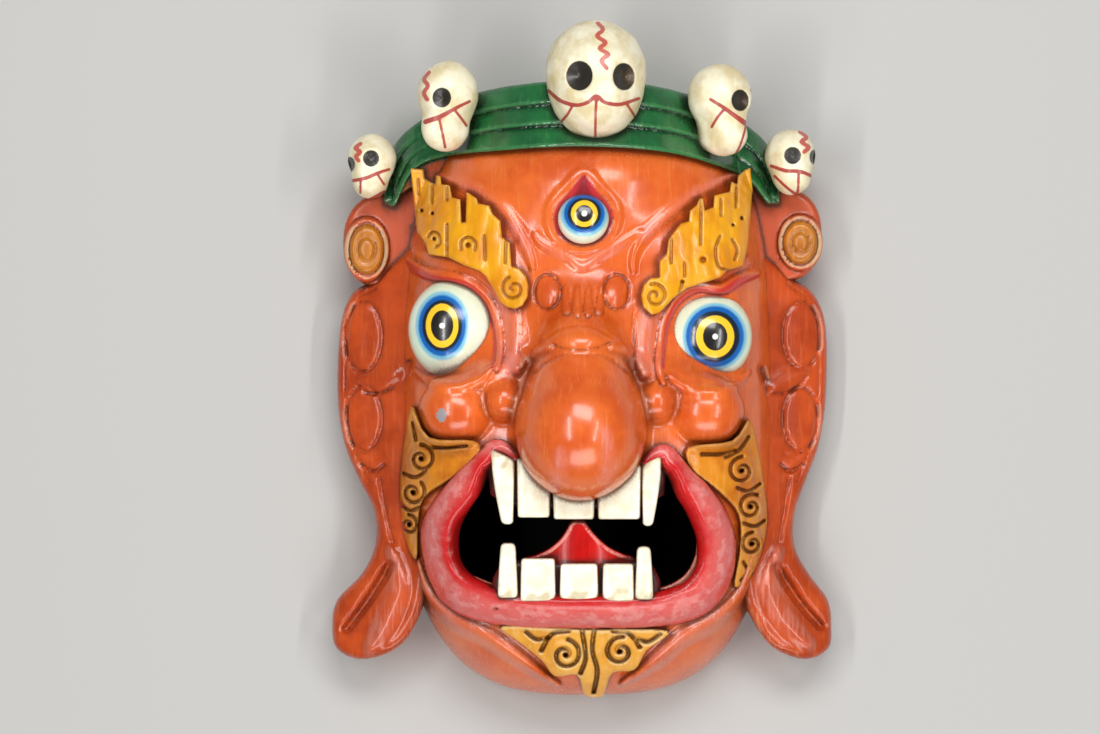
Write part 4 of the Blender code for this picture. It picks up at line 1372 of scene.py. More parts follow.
@dataclass
class Ear(Carving):
    """One ear: a thick plate with raised loops and a long split lobe."""

    outline: Tuple[Point, ...] = ()
    loops: Tuple[Tuple[Point, Point], ...] = ()
    cuts: Tuple[Tuple[Tuple[Point, ...], float, float], ...] = ()
    crests: Tuple[Tuple[Tuple[Place, ...], float], ...] = ()
    rise: Point = (46.0, 26.0)
    undercut: float = 20.0
    root: float = 100.0
    spread: float = 50.0
    lobe_top: float = -120.0
    lobe_curl: float = 8.0
    plan: Chart = field(init=False)
    relief: Relief = field(init=False)

    def __post_init__(self) -> None:
        """Work out the outline's chart and the relief."""
        line = rounded_line(self.outline, closed=True, steps=4)
        self.plan = self.chart(lambda x, y: outline_distance(x, y, line))
        carved = Relief(self.low[:2], self.high[:2])
        for centre, radii in self.loops:
            turns = np.linspace(0.0, 2.0 * math.pi, 25)
            ring = np.stack([centre[0] + radii[0] * np.cos(turns), centre[1] + radii[1] * np.sin(turns)],
                            axis=1)
            carved.dish(centre, (radii[0] + 1.5, radii[1] + 1.5), -1.4)
            carved.dish(centre, (radii[0] - 2.0, radii[1] - 2.0), 1.0)
            carved.groove(ring, 1.8, 1.7)
        for line, height in self.crests:
            carved.ridge(line, height, soft=True)
        for cut, half_width, depth in self.cuts:
            carved.groove(rounded_line(cut), half_width, depth)
        self.relief = carved

    def law(self, x: Array, y: Array, z: Array) -> Array:
        """Distance to the ear.

        Args:
            x, y, z: Places, in millimetres.

        Returns:
            Signed distance.
        """
        share = (np.abs(x) - self.root) / self.spread
        curl = self.lobe_curl * np.clip((self.lobe_top - y) / self.spread, 0.0, 1.0)
        front = self.rise[0] + (self.rise[1] - self.rise[0]) * share + curl
        back = self.undercut * np.clip((np.abs(x) - 114.0) / 22.0, 0.0, 1.0) - 8.0
        plan = self.plan.at(x, y)
        rim = 1.3 * np.clip(1.0 - np.abs(plan + 5.0) / 1.6, 0.0, 1.0) * (y > -72.0) * (np.abs(x) > 122.0)
        face = 0.93 * (z - front) - self.relief.at(x, y) + rim - 0.3 * ripple(x, y, z, 22.0, 5)
        body = smooth_max(plan, face, 7.0)
        body = smooth_max(body, back - z, 4.0)
        return np.maximum(body, -z)

    def zones(self, x: Array, y: Array, z: Array) -> Dict[str, Array]:
        """Rosy drag marks and a painted highlight on the lobe's crests."""
        crest = line_distance(x, y, rounded_line(self.crests[-1][0]))
        return {"flush_and_highlight": crest + 3.0}


@dataclass
class Boss(Carving):
    """The round boss on top of an ear, with the block that carries it."""

    centre: Point = (0.0, 0.0)
    radii: Point = (13.5, 18.0)
    rise: float = 42.0
    block: Tuple[Point, ...] = ()
    block_rise: float = 36.0
    seat: float = 6.0
    knob_depth: float = 9.0
    rings: Tuple[Place, ...] = ((0.4, 0.14, 1.8), (0.78, 0.1, 2.0))
    plan: Chart = field(init=False)

    def __post_init__(self) -> None:
        """Work out the block's chart."""
        line = rounded_line(self.block, closed=True, steps=4)
        self.plan = self.chart(lambda x, y: outline_distance(x, y, line))

    def law(self, x: Array, y: Array, z: Array) -> Array:
        """Distance to the boss and its block.

        Args:
            x, y, z: Places, in millimetres.

        Returns:
            Signed distance.
        """
        seat = self.rise - self.seat
        knob = ball(x, y, z, (*self.centre, seat), (*self.radii, self.knob_depth))
        reach = np.hypot((x - self.centre[0]) / self.radii[0], (y - self.centre[1]) / self.radii[1])
        rings = sum(depth * np.clip(1.0 - np.abs(reach - share) / width, 0.0, 1.0)
                    for share, width, depth in self.rings)
        knob = knob + np.where(z > seat, rings, 0.0)
        block = smooth_max(self.plan.at(x, y), z - self.block_rise, 5.0)
        return np.maximum(np.minimum(knob, block), -z)

    def zones(self, x: Array, y: Array, z: Array) -> Dict[str, Array]:
        """The block keeps the face's orange, the boss is ochre."""
        edge = np.hypot((x - self.centre[0]) / self.radii[0], (y - self.centre[1]) / self.radii[1])
        return {"block": (0.78 - edge) * self.radii[0]}


@dataclass
class CrownBand(Carving):
    """The green crown: three overlapping boards in an arch that leans back."""

    head: HeadForm = field(default_factory=HeadForm)
    inner: Tuple[Point, ...] = (
        (-111, 92), (-101, 112), (-84, 121), (-49, 124), (0, 126), (49, 123), (82, 115), (99, 107),
        (110, 94),
    )
    outer: Tuple[Point, ...] = (
        (-117, 94), (-116, 121), (-99, 142), (-60, 160), (8, 166), (64, 158), (101, 139), (115, 121),
        (117, 94),
    )
    boards: Tuple[Point, ...] = ((0.0, 0.40), (0.34, 0.72), (0.66, 1.0))
    proud: float = 8.0
    least: float = 56.0
    lean: float = 0.78
    step: float = 6.0
    plans: List[Chart] = field(init=False)
    fronts: List[Chart] = field(init=False)
    core: Chart = field(init=False)

    def __post_init__(self) -> None:
        """Work out the boards' outlines and fronts."""
        self.plans, self.fronts = [], []
        for index, (start, end) in enumerate(self.boards):
            lower, upper = self._between(start), self._between(end)
            outline = np.vstack([rounded_line(lower, steps=4), rounded_line(upper, steps=4)[::-1]])
            self.plans.append(self.chart(lambda x, y, line=outline: outline_distance(x, y, line)))
            self.fronts.append(self.chart(lambda x, y, i=index: self._front(x, y, i)))
        feet = np.vstack([rounded_line(self.outer, steps=4), [(104, 104), (-101, 104)]])
        self.core = self.chart(lambda x, y: outline_distance(x, y, feet))

    def _between(self, share: float) -> List[Point]:
        """A line part of the way from the inner arch to the outer one.

        Args:
            share: Part of the way.

        Returns:
            Its points.
        """
        return [(a[0] + share * (b[0] - a[0]), a[1] + share * (b[1] - a[1]))
                for a, b in zip(self.inner, self.outer)]

    def _arch(self, x: Array, share: float) -> Array:
        """Height up the mask of a crown line.

        Args:
            x: Places across the mask.
            share: Part of the way from the inner arch to the outer one.

        Returns:
            Places up the mask.
        """
        line = rounded_line(self._between(share), steps=4)
        return np.interp(x, line[:, 0], line[:, 1])

    def _front(self, x: Array, y: Array, board: int) -> Array:
        """Height of a board's front above the rim.

        Args:
            x, y: Places over the picture, in millimetres.
            board: Number of the board, from the face outwards.

        Returns:
            The height.
        """
        foot = self._arch(x, 0.0)
        base = np.maximum(self.head.height.at(x, foot) + self.proud, self.least)
        edge = self._arch(x, self.boards[board][0])
        return base - self.step * board - self.lean * np.maximum(0.0, y - edge)

    def law(self, x: Array, y: Array, z: Array) -> Array:
        """Distance to the boards and the wood behind them.

        Args:
            x, y, z: Places, in millimetres.

        Returns:
            Signed distance.
        """
        across = 1.0 / math.hypot(1.0, self.lean)
        rough = 0.25 * ripple(x, y, z, 24.0, 7)
        band = np.full(np.shape(x), 1e3)
        for plan, front in zip(self.plans, self.fronts):
            board = smooth_max(plan.at(x, y), across * (z - front.at(x, y)) - rough, 2.0)
            band = np.minimum(band, board)
        filled = np.minimum(self.fronts[0].at(x, y) - 4.0, self.least - 4.0)
        core = np.maximum(self.core.at(x, y), across * (z - filled))
        return np.maximum(np.minimum(band, core), -z)

    def zones(self, x: Array, y: Array, z: Array) -> Dict[str, Array]:
        """Scuffs along the boards' upper edges.

        Args:
            x, y, z: Places, in millimetres.

        Returns:
            Name to distances, negative in the zone.
        """
        scuff = np.full(len(x), 30.0)
        for share in (0.30, 0.62, 0.93):
            away = np.abs(y - self._arch(x, share)) + 0.6 * np.maximum(np.abs(x) - 78.0, 0.0)
            scuff = np.minimum(scuff, away)
        return {"scuff": scuff + 6.0 + 9.0 * ripple(x, y, z, 34.0, 11),
                "temple": y - self._arch(x, 0.0) + 1.5}


@dataclass
class Skull(Carving):
    """A skull of the crown: cranium, jaw, sockets and the wood behind it."""

    centre: Place = (0.0, 0.0, 0.0)
    radii: Place = (1.0, 1.0, 1.0)
    turn: float = 0.0
    drop: float = 0.0
    jaw: float = 0.8
    post_width: float = 0.78
    post_lean: float = 9.0
    sockets: Tuple[Tuple[Point, Point], ...] = ()
    suture: Tuple[Point, ...] = ()
    creases: Tuple[Tuple[Place, ...], ...] = ()

    def _turned(self, x: Array, y: Array, z: Array) -> Tuple[Array, Array, Array]:
        """Places seen along the skull's own axes.

        Args:
            x, y, z: Places, in millimetres.

        Returns:
            Places across, up and out of the skull's face.
        """
        cosine, sine = math.cos(math.radians(self.turn)), math.sin(math.radians(self.turn))
        across, along, rise = x - self.centre[0], y - self.centre[1], z - self.centre[2]
        return across * cosine - rise * sine, along, across * sine + rise * cosine

    def law(self, x: Array, y: Array, z: Array) -> Array:
        """Distance to the skull.

        Args:
            x, y, z: Places, in millimetres.

        Returns:
            Signed distance.
        """
        u, v, w = self._turned(x, y, z)
        wide, tall, deep = self.radii
        cranium = ball(u, v, w, (0.0, 0.0, 0.0), self.radii)
        chin = ball(u, v, w, (0.0, -self.drop, 0.12 * deep), (wide * self.jaw, 0.66 * tall, 0.86 * deep))
        head = smooth_min(cranium, chin, 0.42 * wide)
        for (px, py), (rx, ry) in self.sockets:
            reach = np.hypot((x - px) / rx, (y - py) / ry)
            sunk = 0.6 * min(rx, ry) * np.clip(1.15 - reach, 0.0, 1.0)
            head = head + np.where(z > self.centre[2], sunk, 0.0)
        lean = np.clip((self.centre[2] - z) / (self.centre[2] + 8.0), 0.0, 1.0) * self.post_lean
        length = math.hypot(self.centre[0], self.centre[1])
        off_x = x - self.centre[0] * (1.0 - lean / length)
        off_y = y - self.centre[1] * (1.0 - lean / length)
        post = np.maximum(np.hypot(off_x, off_y) - self.post_width * wide, z - self.centre[2])
        return np.maximum(smooth_min(head, post, 3.0) - 0.4 * ripple(x, y, z, 15.0, 13), -z)

    def zones(self, x: Array, y: Array, z: Array) -> Dict[str, Array]:
        """Dark sockets, the wavy suture, the red lines of mouth and teeth, and bare wood behind.

        Args:
            x, y, z: Places, in millimetres.

        Returns:
            Name to distances, negative in the zone.
        """
        socket = np.min([(np.hypot((x - px) / rx, (y - py) / ry) - 1.0) * min(rx, ry)
                         for (px, py), (rx, ry) in self.sockets], axis=0)
        hidden = np.where(z > self.centre[2] - 0.3 * self.radii[2], 0.0, 20.0)
        suture = line_distance(x, y, rounded_line([(*place, 1.25) for place in self.suture], steps=4))
        crease = np.min([line_distance(x, y, rounded_line(line, steps=4)) for line in self.creases], axis=0)
        stump = z - (self.centre[2] - 0.75 * self.radii[2])
        return {"socket": socket + hidden, "suture": suture + hidden, "crease": crease + hidden,
                "stump": stump}


@dataclass
class Plate(Carving):
    """A flat carved ornament that follows the skin and stands proud of it."""

    PLAN_PITCH = 0.35
    RELIEF_PITCH = 0.3

    head: HeadForm = field(default_factory=HeadForm)
    outline: Tuple[Point, ...] = ()
    lift: float = 6.0
    bevel: float = 2.0
    rounded: bool = True
    cords: Tuple[Tuple[Place, ...], ...] = ()
    cuts: Tuple[Tuple[Point, ...], ...] = ()
    spirals: Tuple[Tuple[Point, float, float, float], ...] = ()
    drills: Tuple[Tuple[Point, float], ...] = ()
    cut_width: float = 1.1
    cut_depth: float = 2.2
    folds: float = 0.0
    fold_pitch: float = 8.0
    ground: float = -90.0
    plan: Chart = field(init=False)
    relief: Relief = field(init=False)

    def __post_init__(self) -> None:
        """Work out the outline's chart and carve the relief."""
        line = rounded_line(self.outline, closed=True,
                            steps=4) if self.rounded else np.array(self.outline, float)
        self.plan = self.chart(lambda x, y: outline_distance(x, y, line), self.PLAN_PITCH)
        carved = Relief(self.low[:2], self.high[:2], self.RELIEF_PITCH)
        grid_x, grid_y = np.meshgrid(carved.xs, carved.ys, indexing="ij")
        wave = np.abs(np.sin(np.pi * (grid_x + 1.6 * np.sin(grid_y / 9.0)) / self.fold_pitch))
        carved.values += self.folds * (wave - 0.6)
        for cord in self.cords:
            carved.ridge(cord, 1.6)
        for cut in self.cuts:
            carved.groove(rounded_line(cut), self.cut_width, self.cut_depth)
        for centre, radius, hand, start in self.spirals:
            carved.dish(centre, (radius, radius), 1.2)
            carved.groove(spiral(centre, radius, hand, start, 1.35), self.cut_width, self.cut_depth)
        for centre, radius in self.drills:
            carved.groove(np.array([centre, (centre[0], centre[1] + 0.1)]), radius, 2.2 * self.cut_depth)
        self.relief = carved

    def law(self, x: Array, y: Array, z: Array) -> Array:
        """Distance to the ornament.

        Args:
            x, y, z: Places, in millimetres.

        Returns:
            Signed distance.
        """
        flesh = np.minimum(self.head.flesh(x, y, z), z - self.ground)
        top = flesh - self.lift - self.relief.at(x, y) - 0.3 * ripple(x, y, z, 11.0, 17)
        return np.maximum(smooth_max(self.plan.at(x, y), top, self.bevel), -(flesh + 3.0))


@dataclass
class Eye(Carving):
    """An eyeball with its painted rings."""

    centre: Place = (0.0, 0.0, 0.0)
    radii: Place = (1.0, 1.0, 1.0)
    iris: Point = (0.0, 0.0)
    blue: Point = (14.0, 18.0)
    navy: float = 0.84
    yellow: Point = (9.6, 13.0)
    black: Point = (6.6, 9.0)
    glint: float = 1.7
    corners: Tuple[Place, ...] = ()

    def law(self, x: Array, y: Array, z: Array) -> Array:
        """Distance to the eyeball."""
        return ball(x, y, z, self.centre, self.radii)

    def _ring(self, x: Array, y: Array, radii: Point) -> Array:
        """Distance to a painted oval around the iris's middle.

        Args:
            x, y: Places over the picture, in millimetres.
            radii: The oval's radii.

        Returns:
            Distance, negative inside.
        """
        reach = np.hypot((x - self.iris[0]) / radii[0], (y - self.iris[1]) / radii[1])
        return (reach - 1.0) * min(radii)

    def zones(self, x: Array, y: Array, z: Array) -> Dict[str, Array]:
        """Iris rings from the outside in, the glint and the red corners.

        Args:
            x, y, z: Places, in millimetres.

        Returns:
            Name to distances, negative in the zone.
        """
        corner = np.full(len(x), 30.0)
        if self.corners:
            corner = np.min([np.hypot(x - cx, y - cy) - r for cx, cy, r in self.corners], axis=0)
        navy = (self.blue[0] * self.navy, self.blue[1] * self.navy)
        return {
            "corner": corner, "ring_fringe": self._ring(x, y, self.blue) - 1.8,
            "ring_blue": self._ring(x, y, self.blue), "ring_navy": self._ring(x, y, navy),
            "ring_yellow": self._ring(x, y, self.yellow), "ring_black": self._ring(x, y, self.black),
            "glint": np.hypot(x - self.iris[0], y - self.iris[1]) - self.glint,
        }


@dataclass
class Lips(Carving):
    """The lips: a thick roll around the mouth that slopes in to its hole."""

    head: HeadForm = field(default_factory=HeadForm)
    line: Tuple[Place, ...] = (
        (-40, -55, 4.5), (-51, -51, 6), (-61.5, -65, 9), (-75, -82, 11), (-83, -101, 13), (-81, -122, 13),
        (-68, -138, 12.5),
        (-36, -145, 11.5), (2, -146, 11), (40, -145.5, 11), (66, -139, 12), (78, -123, 12), (78, -102, 12),
        (69, -83, 11), (56.5, -67, 9), (48, -54, 6), (38, -58, 4.5),
    )
    lift: float = 1.0
    roll: Chart = field(init=False)
    wide: Chart = field(init=False)

    def __post_init__(self) -> None:
        """Work out the charts of the lips' middle line."""
        line = rounded_line(self.line, steps=5)
        self.roll = self.chart(lambda x, y: trace(x, y, line)[0])
        self.wide = self.chart(lambda x, y: trace(x, y, line)[1])

    def law(self, x: Array, y: Array, z: Array) -> Array:
        """Distance to the lips.

        Args:
            x, y, z: Places, in millimetres.

        Returns:
            Signed distance.
        """
        rise = z - self.head.height.at(x, y) - self.lift
        wide = self.wide.at(x, y)
        roll = np.hypot(self.roll.at(x, y), 0.94 * rise) - wide - 0.35 * ripple(x, y, z, 20.0, 19)
        mouth = self.head.mouth.at(x, y)
        funnel = mouth + 1.5 - 0.4 * np.clip(rise, -12.0, 14.0)
        return smooth_max(roll, -0.95 * funnel, 4.0)

    def zones(self, x: Array, y: Array, z: Array) -> Dict[str, Array]:
        """Chalky crest, red inner slope darkened by painted shade at the hole, and the brown line round the
        outside.

        Args:
            x, y, z: Places, in millimetres.

        Returns:
            Name to distances, negative in the zone.
        """
        mouth = self.head.mouth.at(x, y)
        outer = self.wide.at(x, y) - self.roll.at(x, y)
        return {
            "inner": mouth - 8.5, "inner_painted_shade": mouth - 1.0 + 0.2 * np.maximum(z - 92.0, 0.0),
            "chalk": np.abs(self.roll.at(x, y) - 2.0) - 6.0, "outer_line": np.abs(outer) - 0.3,
        }


@dataclass
class Tooth(Carving):
    """One tooth, narrowing to its biting edge or to a fang's tip."""

    left: float = 0.0
    right: float = 1.0
    gum: float = 0.0
    bite: float = 1.0
    kind: ToothKind = ToothKind.CUTTER
    taper: float = 0.05
    lean: float = 0.0
    front: float = 108.0
    depth: float = 24.0

    def law(self, x: Array, y: Array, z: Array) -> Array:
        """Distance to the tooth.

        Args:
            x, y, z: Places, in millimetres.

        Returns:
            Signed distance.
        """
        pointed = self.kind is ToothKind.FANG
        down = np.clip((y - self.gum) / (self.bite - self.gum), 0.0, 1.0)
        half = 0.5 * (self.right - self.left) + 0.5
        width = half * (1.0 - self.taper * down ** 1.5)
        middle = 0.5 * (self.left + self.right) + self.lean * (half - width)
        across = np.abs(x - middle) - width
        ahead = self.front - 1.3 * ((x - middle) / half) ** 2 - (1.2 if pointed else 0.5) * down ** 2
        top, bottom = max(self.gum, self.bite), min(self.gum, self.bite)
        along = np.maximum(0.86 * (y - top - 0.6 * self.lean * (middle - x)), bottom - y)
        form = smooth_max(across, along, 2.8 if pointed else 1.8)
        return smooth_max(form, np.maximum(z - ahead, self.front - self.depth - z), 1.8)

    def zones(self, x: Array, y: Array, z: Array) -> Dict[str, Array]:
        """Brown stain towards the gum and dark flanks.

        Args:
            x, y, z: Places, in millimetres.

        Returns:
            Name to distances, negative in the zone.
        """
        down = np.abs(y - self.gum)
        flank = self.front - 3.6 - z
        return {"darkening": down - 3.0 + 6.0 * ripple(x, y, z, 9.0, 23), "gap": -flank + 0.6}


@dataclass
class Gum(Carving):
    """The dark gum that carries a row of teeth and closes the gaps between them."""

    outline: Tuple[Point, ...] = ()
    span: Point = (82.0, 98.0)

    def law(self, x: Array, y: Array, z: Array) -> Array:
        """Distance to the gum."""
        edge = outline_distance(x, y, np.array(self.outline, dtype=float))
        return smooth_max(edge, np.maximum(z - self.span[1], self.span[0] - z), 4.0)


@dataclass
class Tongue(Carving):
    """The tongue: a red tip that rises between the lower teeth."""

    outline: Tuple[Point, ...] = (
        (-34, -142), (30, -142), (32, -118), (24, -113), (16, -109), (9, -103), (4, -97), (1, -93),
        (-6, -93), (-9, -98), (-13, -104), (-20, -110), (-28, -114), (-36, -118),
    )
    span: Point = (64.0, 100.5)
    plan: Chart = field(init=False)

    def __post_init__(self) -> None:
        """Work out the outline's chart."""
        line = rounded_line(self.outline, closed=True, steps=4)
        self.plan = self.chart(lambda x, y: outline_distance(x, y, line))

    def law(self, x: Array, y: Array, z: Array) -> Array:
        """Distance to the tongue."""
        top = self.span[1] - 0.012 * (x + 1.0) ** 2
        return smooth_max(self.plan.at(x, y), np.maximum(z - top, self.span[0] - z), 2.0)

    def zones(self, x: Array, y: Array, z: Array) -> Dict[str, Array]:
        """A rose line along the edges."""
        return {"rose_edge": np.abs(self.plan.at(x, y) + 1.4) - 0.9}


@dataclass
class DanceMask:
    """The whole mask: the list of its pieces and the way they shade each other."""

    head: HeadForm = field(default_factory=HeadForm)
    depth: float = 157.0
    margin: float = 12.0
    carvings: List[Carving] = field(default_factory=list)

    def make_head(self) -> None:
        """The block, its painted skin and what lies in the face."""
        head = self.head
        self.carvings += [
            WoodCore("wood_core", BARE_WOOD, 3.8, (-114.0, -203.0, -3.0), (120.0, 168.0, 152.0), head=head),
            FaceSkin("face_skin", ORANGE_PAINT, 1.45, (-114.0, -204.0, -2.0), (120.0, 141.0, 162.0),
                     head=head),
            Lips("lips", LIP_PAINT, 1.3, (-102.0, -165.0, 62.0), (99.0, -40.0, 142.0), head=head),
        ]
        self._make_eyes()

    def _make_eyes(self) -> None:
        """The three eyes."""
        self.carvings += [
            Eye("left_eye", EYE_PAINT, 1.15, (-104.0, -13.0, 55.0), (-47.0, 51.0, 100.0),
                centre=(-75.5, 19.3, 74.0), radii=(27.0, 30.0, 24.0), iris=(-82.2, 21.3),
                corners=((-57.0, -10.0, 7.0), (-51.0, 3.0, 3.0), (-98.0, 46.0, 4.0))),
            Eye("right_eye", EYE_PAINT, 1.15, (44.0, -15.0, 55.0), (102.0, 45.0, 100.0),
                centre=(72.8, 15.0, 74.0), radii=(27.5, 27.5, 24.0), iris=(77.9, 14.9), blue=(17.2, 17.9),
                yellow=(11.3, 12.4), black=(7.2, 8.3), corners=((54.0, -10.0, 6.0), (96.0, 38.0, 3.0))),
            Eye("third_eye", EYE_PAINT, 0.95, (-17.0, 66.0, 89.0), (18.0, 102.0, 118.0),
                centre=(0.6, 84.0, 105.5), radii=(15.0, 15.0, 10.5), iris=(1.1, 86.6), blue=(12.0, 11.4),
                navy=0.82, yellow=(7.8, 7.8), black=(5.0, 5.0), glint=1.7),
        ]

    def make_mouth(self) -> None:
        """Teeth, gums and tongue."""
        cutter, fang = ToothKind.CUTTER, ToothKind.FANG
        upper = ((-53, -40, -54, -95, fang), (-38, -19, -56, -91, cutter), (-17, 7, -66, -92, cutter),
                 (9, 34, -60, -92, cutter), (35, 46, -57, -96, fang))
        lower = ((-49, -38, -138, -106, fang), (-36, -16, -140, -115, cutter), (-13, 9, -140, -118, cutter),
                 (12, 30, -140, -118, cutter), (31, 41, -139, -108, fang))
        rows = (("upper", upper, 108.0, 0.52, 0.75), ("lower", lower, 107.0, 0.3, 0.0))
        for row, teeth, front, taper, lean in rows:
            for number, (left, right, gum, bite, kind) in enumerate(teeth, start=1):
                low = (left - 4.0, min(gum, bite) - 3.0, front - 27.0)
                high = (right + 4.0, max(gum, bite) + 3.0, front + 3.0)
                tooth = Tooth(f"{row}_tooth_{number}", TOOTH_PAINT, 1.1, low, high, left=left, right=right,
                              gum=gum, bite=bite, kind=kind, front=front)
                if kind is fang:
                    tooth.taper = taper
                    tooth.lean = lean if number == 1 else -lean
                self.carvings.append(tooth)
        self.carvings += [
            Gum("upper_gum", GUM_PAINT, 2.2, (-62.0, -92.0, 78.0), (56.0, -44.0, 104.0), span=(82.0, 100.0),
                outline=((-57, -50), (-54, -78), (-40, -85), (-2, -87), (35, -85), (48, -78), (51, -50))),
            Gum("lower_gum", GUM_PAINT, 2.2, (-64.0, -150.0, 78.0), (58.0, -110.0, 104.0),
                span=(82.0, 99.0),
                outline=((-53, -128), (-49, -120), (-44, -116), (-20, -117), (12, -117), (36, -116),
                         (42, -120), (46, -128), (46, -146), (-52, -146))),
            Tongue("tongue", TONGUE_PAINT, 1.5, (-42.0, -148.0, 60.0), (38.0, -88.0, 104.0)),
        ]

    def make_ornaments(self) -> None:
        """Flame brows and the ochre ornaments of cheeks and chin."""
        head = self.head
        self.carvings += [
            Plate("left_flame_brow", YELLOW_PAINT, 0.85, (-105.0, 25.0, 46.0), (-27.0, 120.0, 130.0),
                  head=head, lift=8.5, bevel=1.8, rounded=False, folds=0.5, fold_pitch=11.0, cut_width=1.2,
                  cut_depth=1.8, ground=53.0, outline=(
                      (-101.5, 114.5), (-94, 114), (-93, 108.5), (-87, 105), (-86, 110.5), (-83.5, 109.5),
                      (-83, 105), (-78, 104), (-76.5, 97), (-71.5, 95.5), (-70.8, 82), (-68.6, 82),
                      (-68, 100),
                      (-62, 96), (-61, 93), (-54.5, 91.5), (-52.5, 86.5), (-48, 82.5), (-47, 73),
                      (-42.5, 69.5),
                      (-41.5, 56), (-37, 54.5), (-33, 50), (-31.4, 44), (-32, 38), (-35, 33), (-39, 31),
                      (-44, 32), (-48, 35), (-53, 44), (-57, 50.5), (-60.5, 53.5), (-69, 56.5), (-79, 61.5),
                      (-90.5, 63.3), (-92.5, 70), (-97.5, 77), (-99.5, 95)),
                  cuts=(((-88.4, 104), (-88.4, 93.5)), ((-79.6, 103), (-79.5, 95)),
                        ((-79.5, 81), (-79.4, 62)),
                        ((-44.6, 72), (-45.2, 58)), ((-97, 108), (-96.5, 99)), ((-57.4, 74), (-56.9, 60)),
                        ((-90.5, 74), (-88, 76.5), (-84.5, 75), (-83.5, 70), (-86, 67.5)),
                        ((-71, 66), (-70.8, 71), (-66.5, 73.2), (-62.5, 70), (-63, 65.5))),
                  spirals=(((-40.2, 42.8), 7.4, -1.0, 20.0),),
                  drills=(((-87.0, 72.4), 1.5), ((-67.0, 68.4), 2.0), ((-94.6, 89.4), 1.4),
                          ((-88.2, 87.5), 1.3))),
            Plate("right_flame_brow", YELLOW_PAINT, 0.85, (28.0, 22.0, 46.0), (105.0, 120.0, 130.0),
                  head=head, lift=8.5, bevel=1.8, rounded=False, folds=0.5, fold_pitch=11.0, cut_width=1.2,
                  cut_depth=1.8, ground=53.0, outline=(
                      (99.6, 115), (96, 113.5), (92, 110), (91.5, 105), (88, 106.5), (87, 100.5),
                      (77.6, 97.8),
                      (77, 91), (72, 89), (70.8, 96), (69, 96), (67, 92), (63, 88.5), (62.4, 82.5),
                      (57.6, 81),
                      (53.5, 76), (50.5, 71.5), (49.3, 63.5), (45, 59), (45, 49.5), (40, 49), (35.8, 45),
                      (34.2, 39), (35.6, 32), (40.5, 27.6), (45, 28.6), (48, 31.6), (53, 37), (61.5, 43.3),
                      (70, 46), (81, 49.5), (85, 53.5), (95, 56.5), (97.5, 67.5), (99, 81), (101, 102)),
                  cuts=(((91, 103), (90.5, 91)), ((69.6, 95), (69.4, 69)), ((59.8, 58), (60, 50)),
                        ((58.3, 45.6), (57, 39.5)), ((81, 74), (78, 66), (80, 56), (86, 54)),
                        ((81.5, 96), (81.5, 86)), ((52, 72), (52, 58)), ((88, 72), (91, 66), (89.5, 60))),
                  spirals=(((42.4, 38.6), 7.4, 1.0, -20.0),),
                  drills=(((70.7, 59.8), 2.6), ((94.0, 84.6), 1.4), ((88.7, 80.5), 1.2),
                          ((58.6, 47.0), 1.5))),
            Plate("left_cheek_ornament", CHEEK_OCHRE_PAINT, 0.95, (-115.0, -125.0, 20.0),
                  (-54.0, -20.0, 125.0), head=head, lift=4.4, outline=(
                      (-101, -26), (-90, -44), (-64, -46), (-60, -54), (-76, -68), (-93, -80), (-97, -96),
                      (-98, -117), (-105, -108), (-109, -88), (-107, -60)),
                  cuts=(((-100, -36), (-98, -46)), ((-106, -66), (-98, -68), (-92, -64)),
                        ((-108, -84), (-102, -88), (-96, -86)), ((-88, -50), (-78, -50), (-68, -49))),
                  spirals=(((-95.0, -57.0), 8.4, 1.0, 0.0), ((-100.0, -77.0), 7.8, 1.0, 40.0),
                           ((-102.5, -96.5), 6.0, 1.0, 0.0)),
                  cut_width=1.5, cut_depth=2.8,
                  drills=(((-95.0, -57.0), 1.9), ((-100.0, -77.0), 1.8), ((-102.5, -96.5), 1.7))),
            Plate("right_cheek_ornament", CHEEK_OCHRE_PAINT, 0.95, (58.0, -140.0, 20.0),
                  (116.0, -28.0, 125.0), head=head, lift=4.4, outline=(
                      (99, -34), (88, -46), (62, -50), (64, -63), (80, -76), (92, -90), (93, -110),
                      (90, -133), (102, -124), (110, -98), (107, -66)),
                  cuts=(((98, -44), (92, -52), (84, -56)), ((105, -72), (98, -76), (91, -74)),
                        ((108, -94), (102, -97), (95, -95)), ((70, -54), (80, -54), (90, -52)),
                        ((95, -118), (98, -124), (94, -129))),
                  spirals=(((94.0, -64.0), 8.4, -1.0, 0.0), ((99.5, -85.5), 8.0, -1.0, -30.0),
                           ((100.5, -107.5), 7.0, -1.0, 0.0)),
                  cut_width=1.5, cut_depth=2.8,
                  drills=(((94.0, -64.0), 1.9), ((99.5, -85.5), 1.9), ((100.5, -107.5), 1.8))),
            Plate("chin_ornament", OCHRE_PAINT, 0.85, (-52.0, -205.0, 20.0), (55.0, -150.0, 118.0),
                  head=head, lift=5.5, outline=(
                      (-47, -155), (2, -157), (50, -158), (38, -170), (31, -182), (18, -184), (13, -198),
                      (7, -200), (1, -197), (-3, -185), (-16, -186), (-24, -176), (-36, -166)),
                  cuts=(((0, -158), (2, -174), (-1, -184)), ((7, -158), (6, -170), (9, -182), (7, -196)),
                        ((-33, -158.5), (-27, -163), (-20, -162)), ((46, -160), (39, -164.5), (33, -163)),
                        ((-24, -170), (-18, -160), (-8, -158)), ((34, -168), (28, -160), (18, -158))),
                  cut_width=1.9, cut_depth=3.2,
                  spirals=(((-10.0, -172.5), 9.6, 1.0, 10.0), ((22.5, -170.5), 9.2, -1.0, -10.0)),
                  drills=(((-10.0, -172.5), 2.0), ((22.5, -170.5), 2.0))),
        ]

